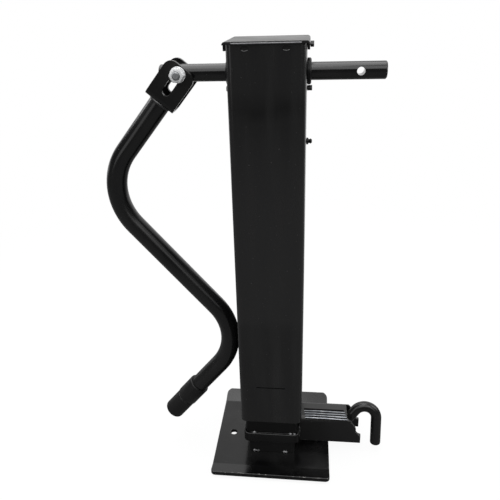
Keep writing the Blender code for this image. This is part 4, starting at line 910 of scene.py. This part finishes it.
# Room: dim walls under a white ceiling, which the upper faces of the paint reflect. Behind the jack the
# backdrop is white to the camera and to reflections, so that the rims of the paint read bright.
WALL_GREY, CEILING_WHITE = (0.08, 0.08, 0.08), (1.0, 1.0, 1.0)
CEILING_FROM, CEILING_TO = 0.32, 0.55
BACKDROP_FROM, BACKDROP_TO = 0.35, 0.75
room = bpy.data.worlds.new("studio")
bpy.context.scene.world = room
room.use_nodes = True
tree = room.node_tree
outward = tree.nodes.new("ShaderNodeTexCoord").outputs["Generated"]
rise = spread(tree, along(tree, outward, "Z"), CEILING_FROM, CEILING_TO)
walls = shades(tree, rise, WALL_GREY, CEILING_WHITE)
backdrop = spread(tree, along(tree, outward, "Y"), BACKDROP_FROM, BACKDROP_TO)
sky = shades(tree, seen_white(tree, backdrop), walls, CEILING_WHITE)
tree.links.new(sky, tree.nodes["Background"].inputs["Color"])

# Lamps: a large soft box overhead and a weaker one in front, with upright strips at the sides and in front
# that draw the light lines down the round handle. All are turned to the middle of the tube.
LAMPS = {
    "top_box": ((-0.2, 0.1, 1.7), 1.6, 1.3, 16.0),
    "front_box": ((0.2, -1.1, 1.5), 1.6, 1.0, 6.0),
    "left_strip": ((-1.2, 0.5, 1.3), 0.5, 1.1, 5.0),
    "right_strip": ((1.3, 0.1, 0.9), 0.4, 1.0, 4.0),
    "front_left_strip": ((-1.1, -1.1, 0.9), 0.6, 1.4, 2.4),
    "front_right_strip": ((0.9, -1.2, 1.1), 0.5, 1.4, 2.0),
}
tube_middle = (tube_low + tube_high) / 2
for name, (spot, width, height, power) in LAMPS.items():
    lamp = bpy.data.lights.new(name, "AREA")
    lamp.shape = "RECTANGLE"
    lamp.size = width
    lamp.size_y = height
    lamp.energy = power
    holder = bpy.data.objects.new(name, lamp)
    holder.location = spot
    holder.rotation_euler = (tube_middle - Vector(spot)).to_track_quat("-Z", "Y").to_euler()
    bpy.context.collection.objects.link(holder)

# Camera: held a little above the top of the jack and to its right, and looking down on it, as in the
# photograph. Its focal length is given in pixels of the photograph's width.
PHOTO_FOCUS = 541.1
PHOTO_WIDTH = 500.0
SENSOR = 36.0
CAMERA_SPOT = (42.87 * MM, -564.01 * MM, 547.19 * MM)
CAMERA_TURN = math.radians(6.797)
CAMERA_FALL = math.radians(24.867)
CAMERA_ROLL = math.radians(1.737)
level_ahead = Vector((-math.sin(CAMERA_TURN), math.cos(CAMERA_TURN), 0.0))
ahead = math.cos(CAMERA_FALL) * level_ahead - math.sin(CAMERA_FALL) * Vector((0.0, 0.0, 1.0))
level_right = Vector((math.cos(CAMERA_TURN), math.sin(CAMERA_TURN), 0.0))
downward = ahead.cross(level_right)
rightward = math.cos(CAMERA_ROLL) * level_right + math.sin(CAMERA_ROLL) * downward
upward = math.sin(CAMERA_ROLL) * level_right - math.cos(CAMERA_ROLL) * downward
lens = bpy.data.cameras.new("camera")
lens.sensor_width = SENSOR
lens.lens = SENSOR * PHOTO_FOCUS / PHOTO_WIDTH
camera = bpy.data.objects.new("camera", lens)
camera.matrix_world = Matrix((rightward, upward, -ahead)).transposed().to_4x4()
camera.location = CAMERA_SPOT
bpy.context.collection.objects.link(camera)
bpy.context.scene.camera = camera
bpy.context.scene.view_settings.view_transform = "Standard"
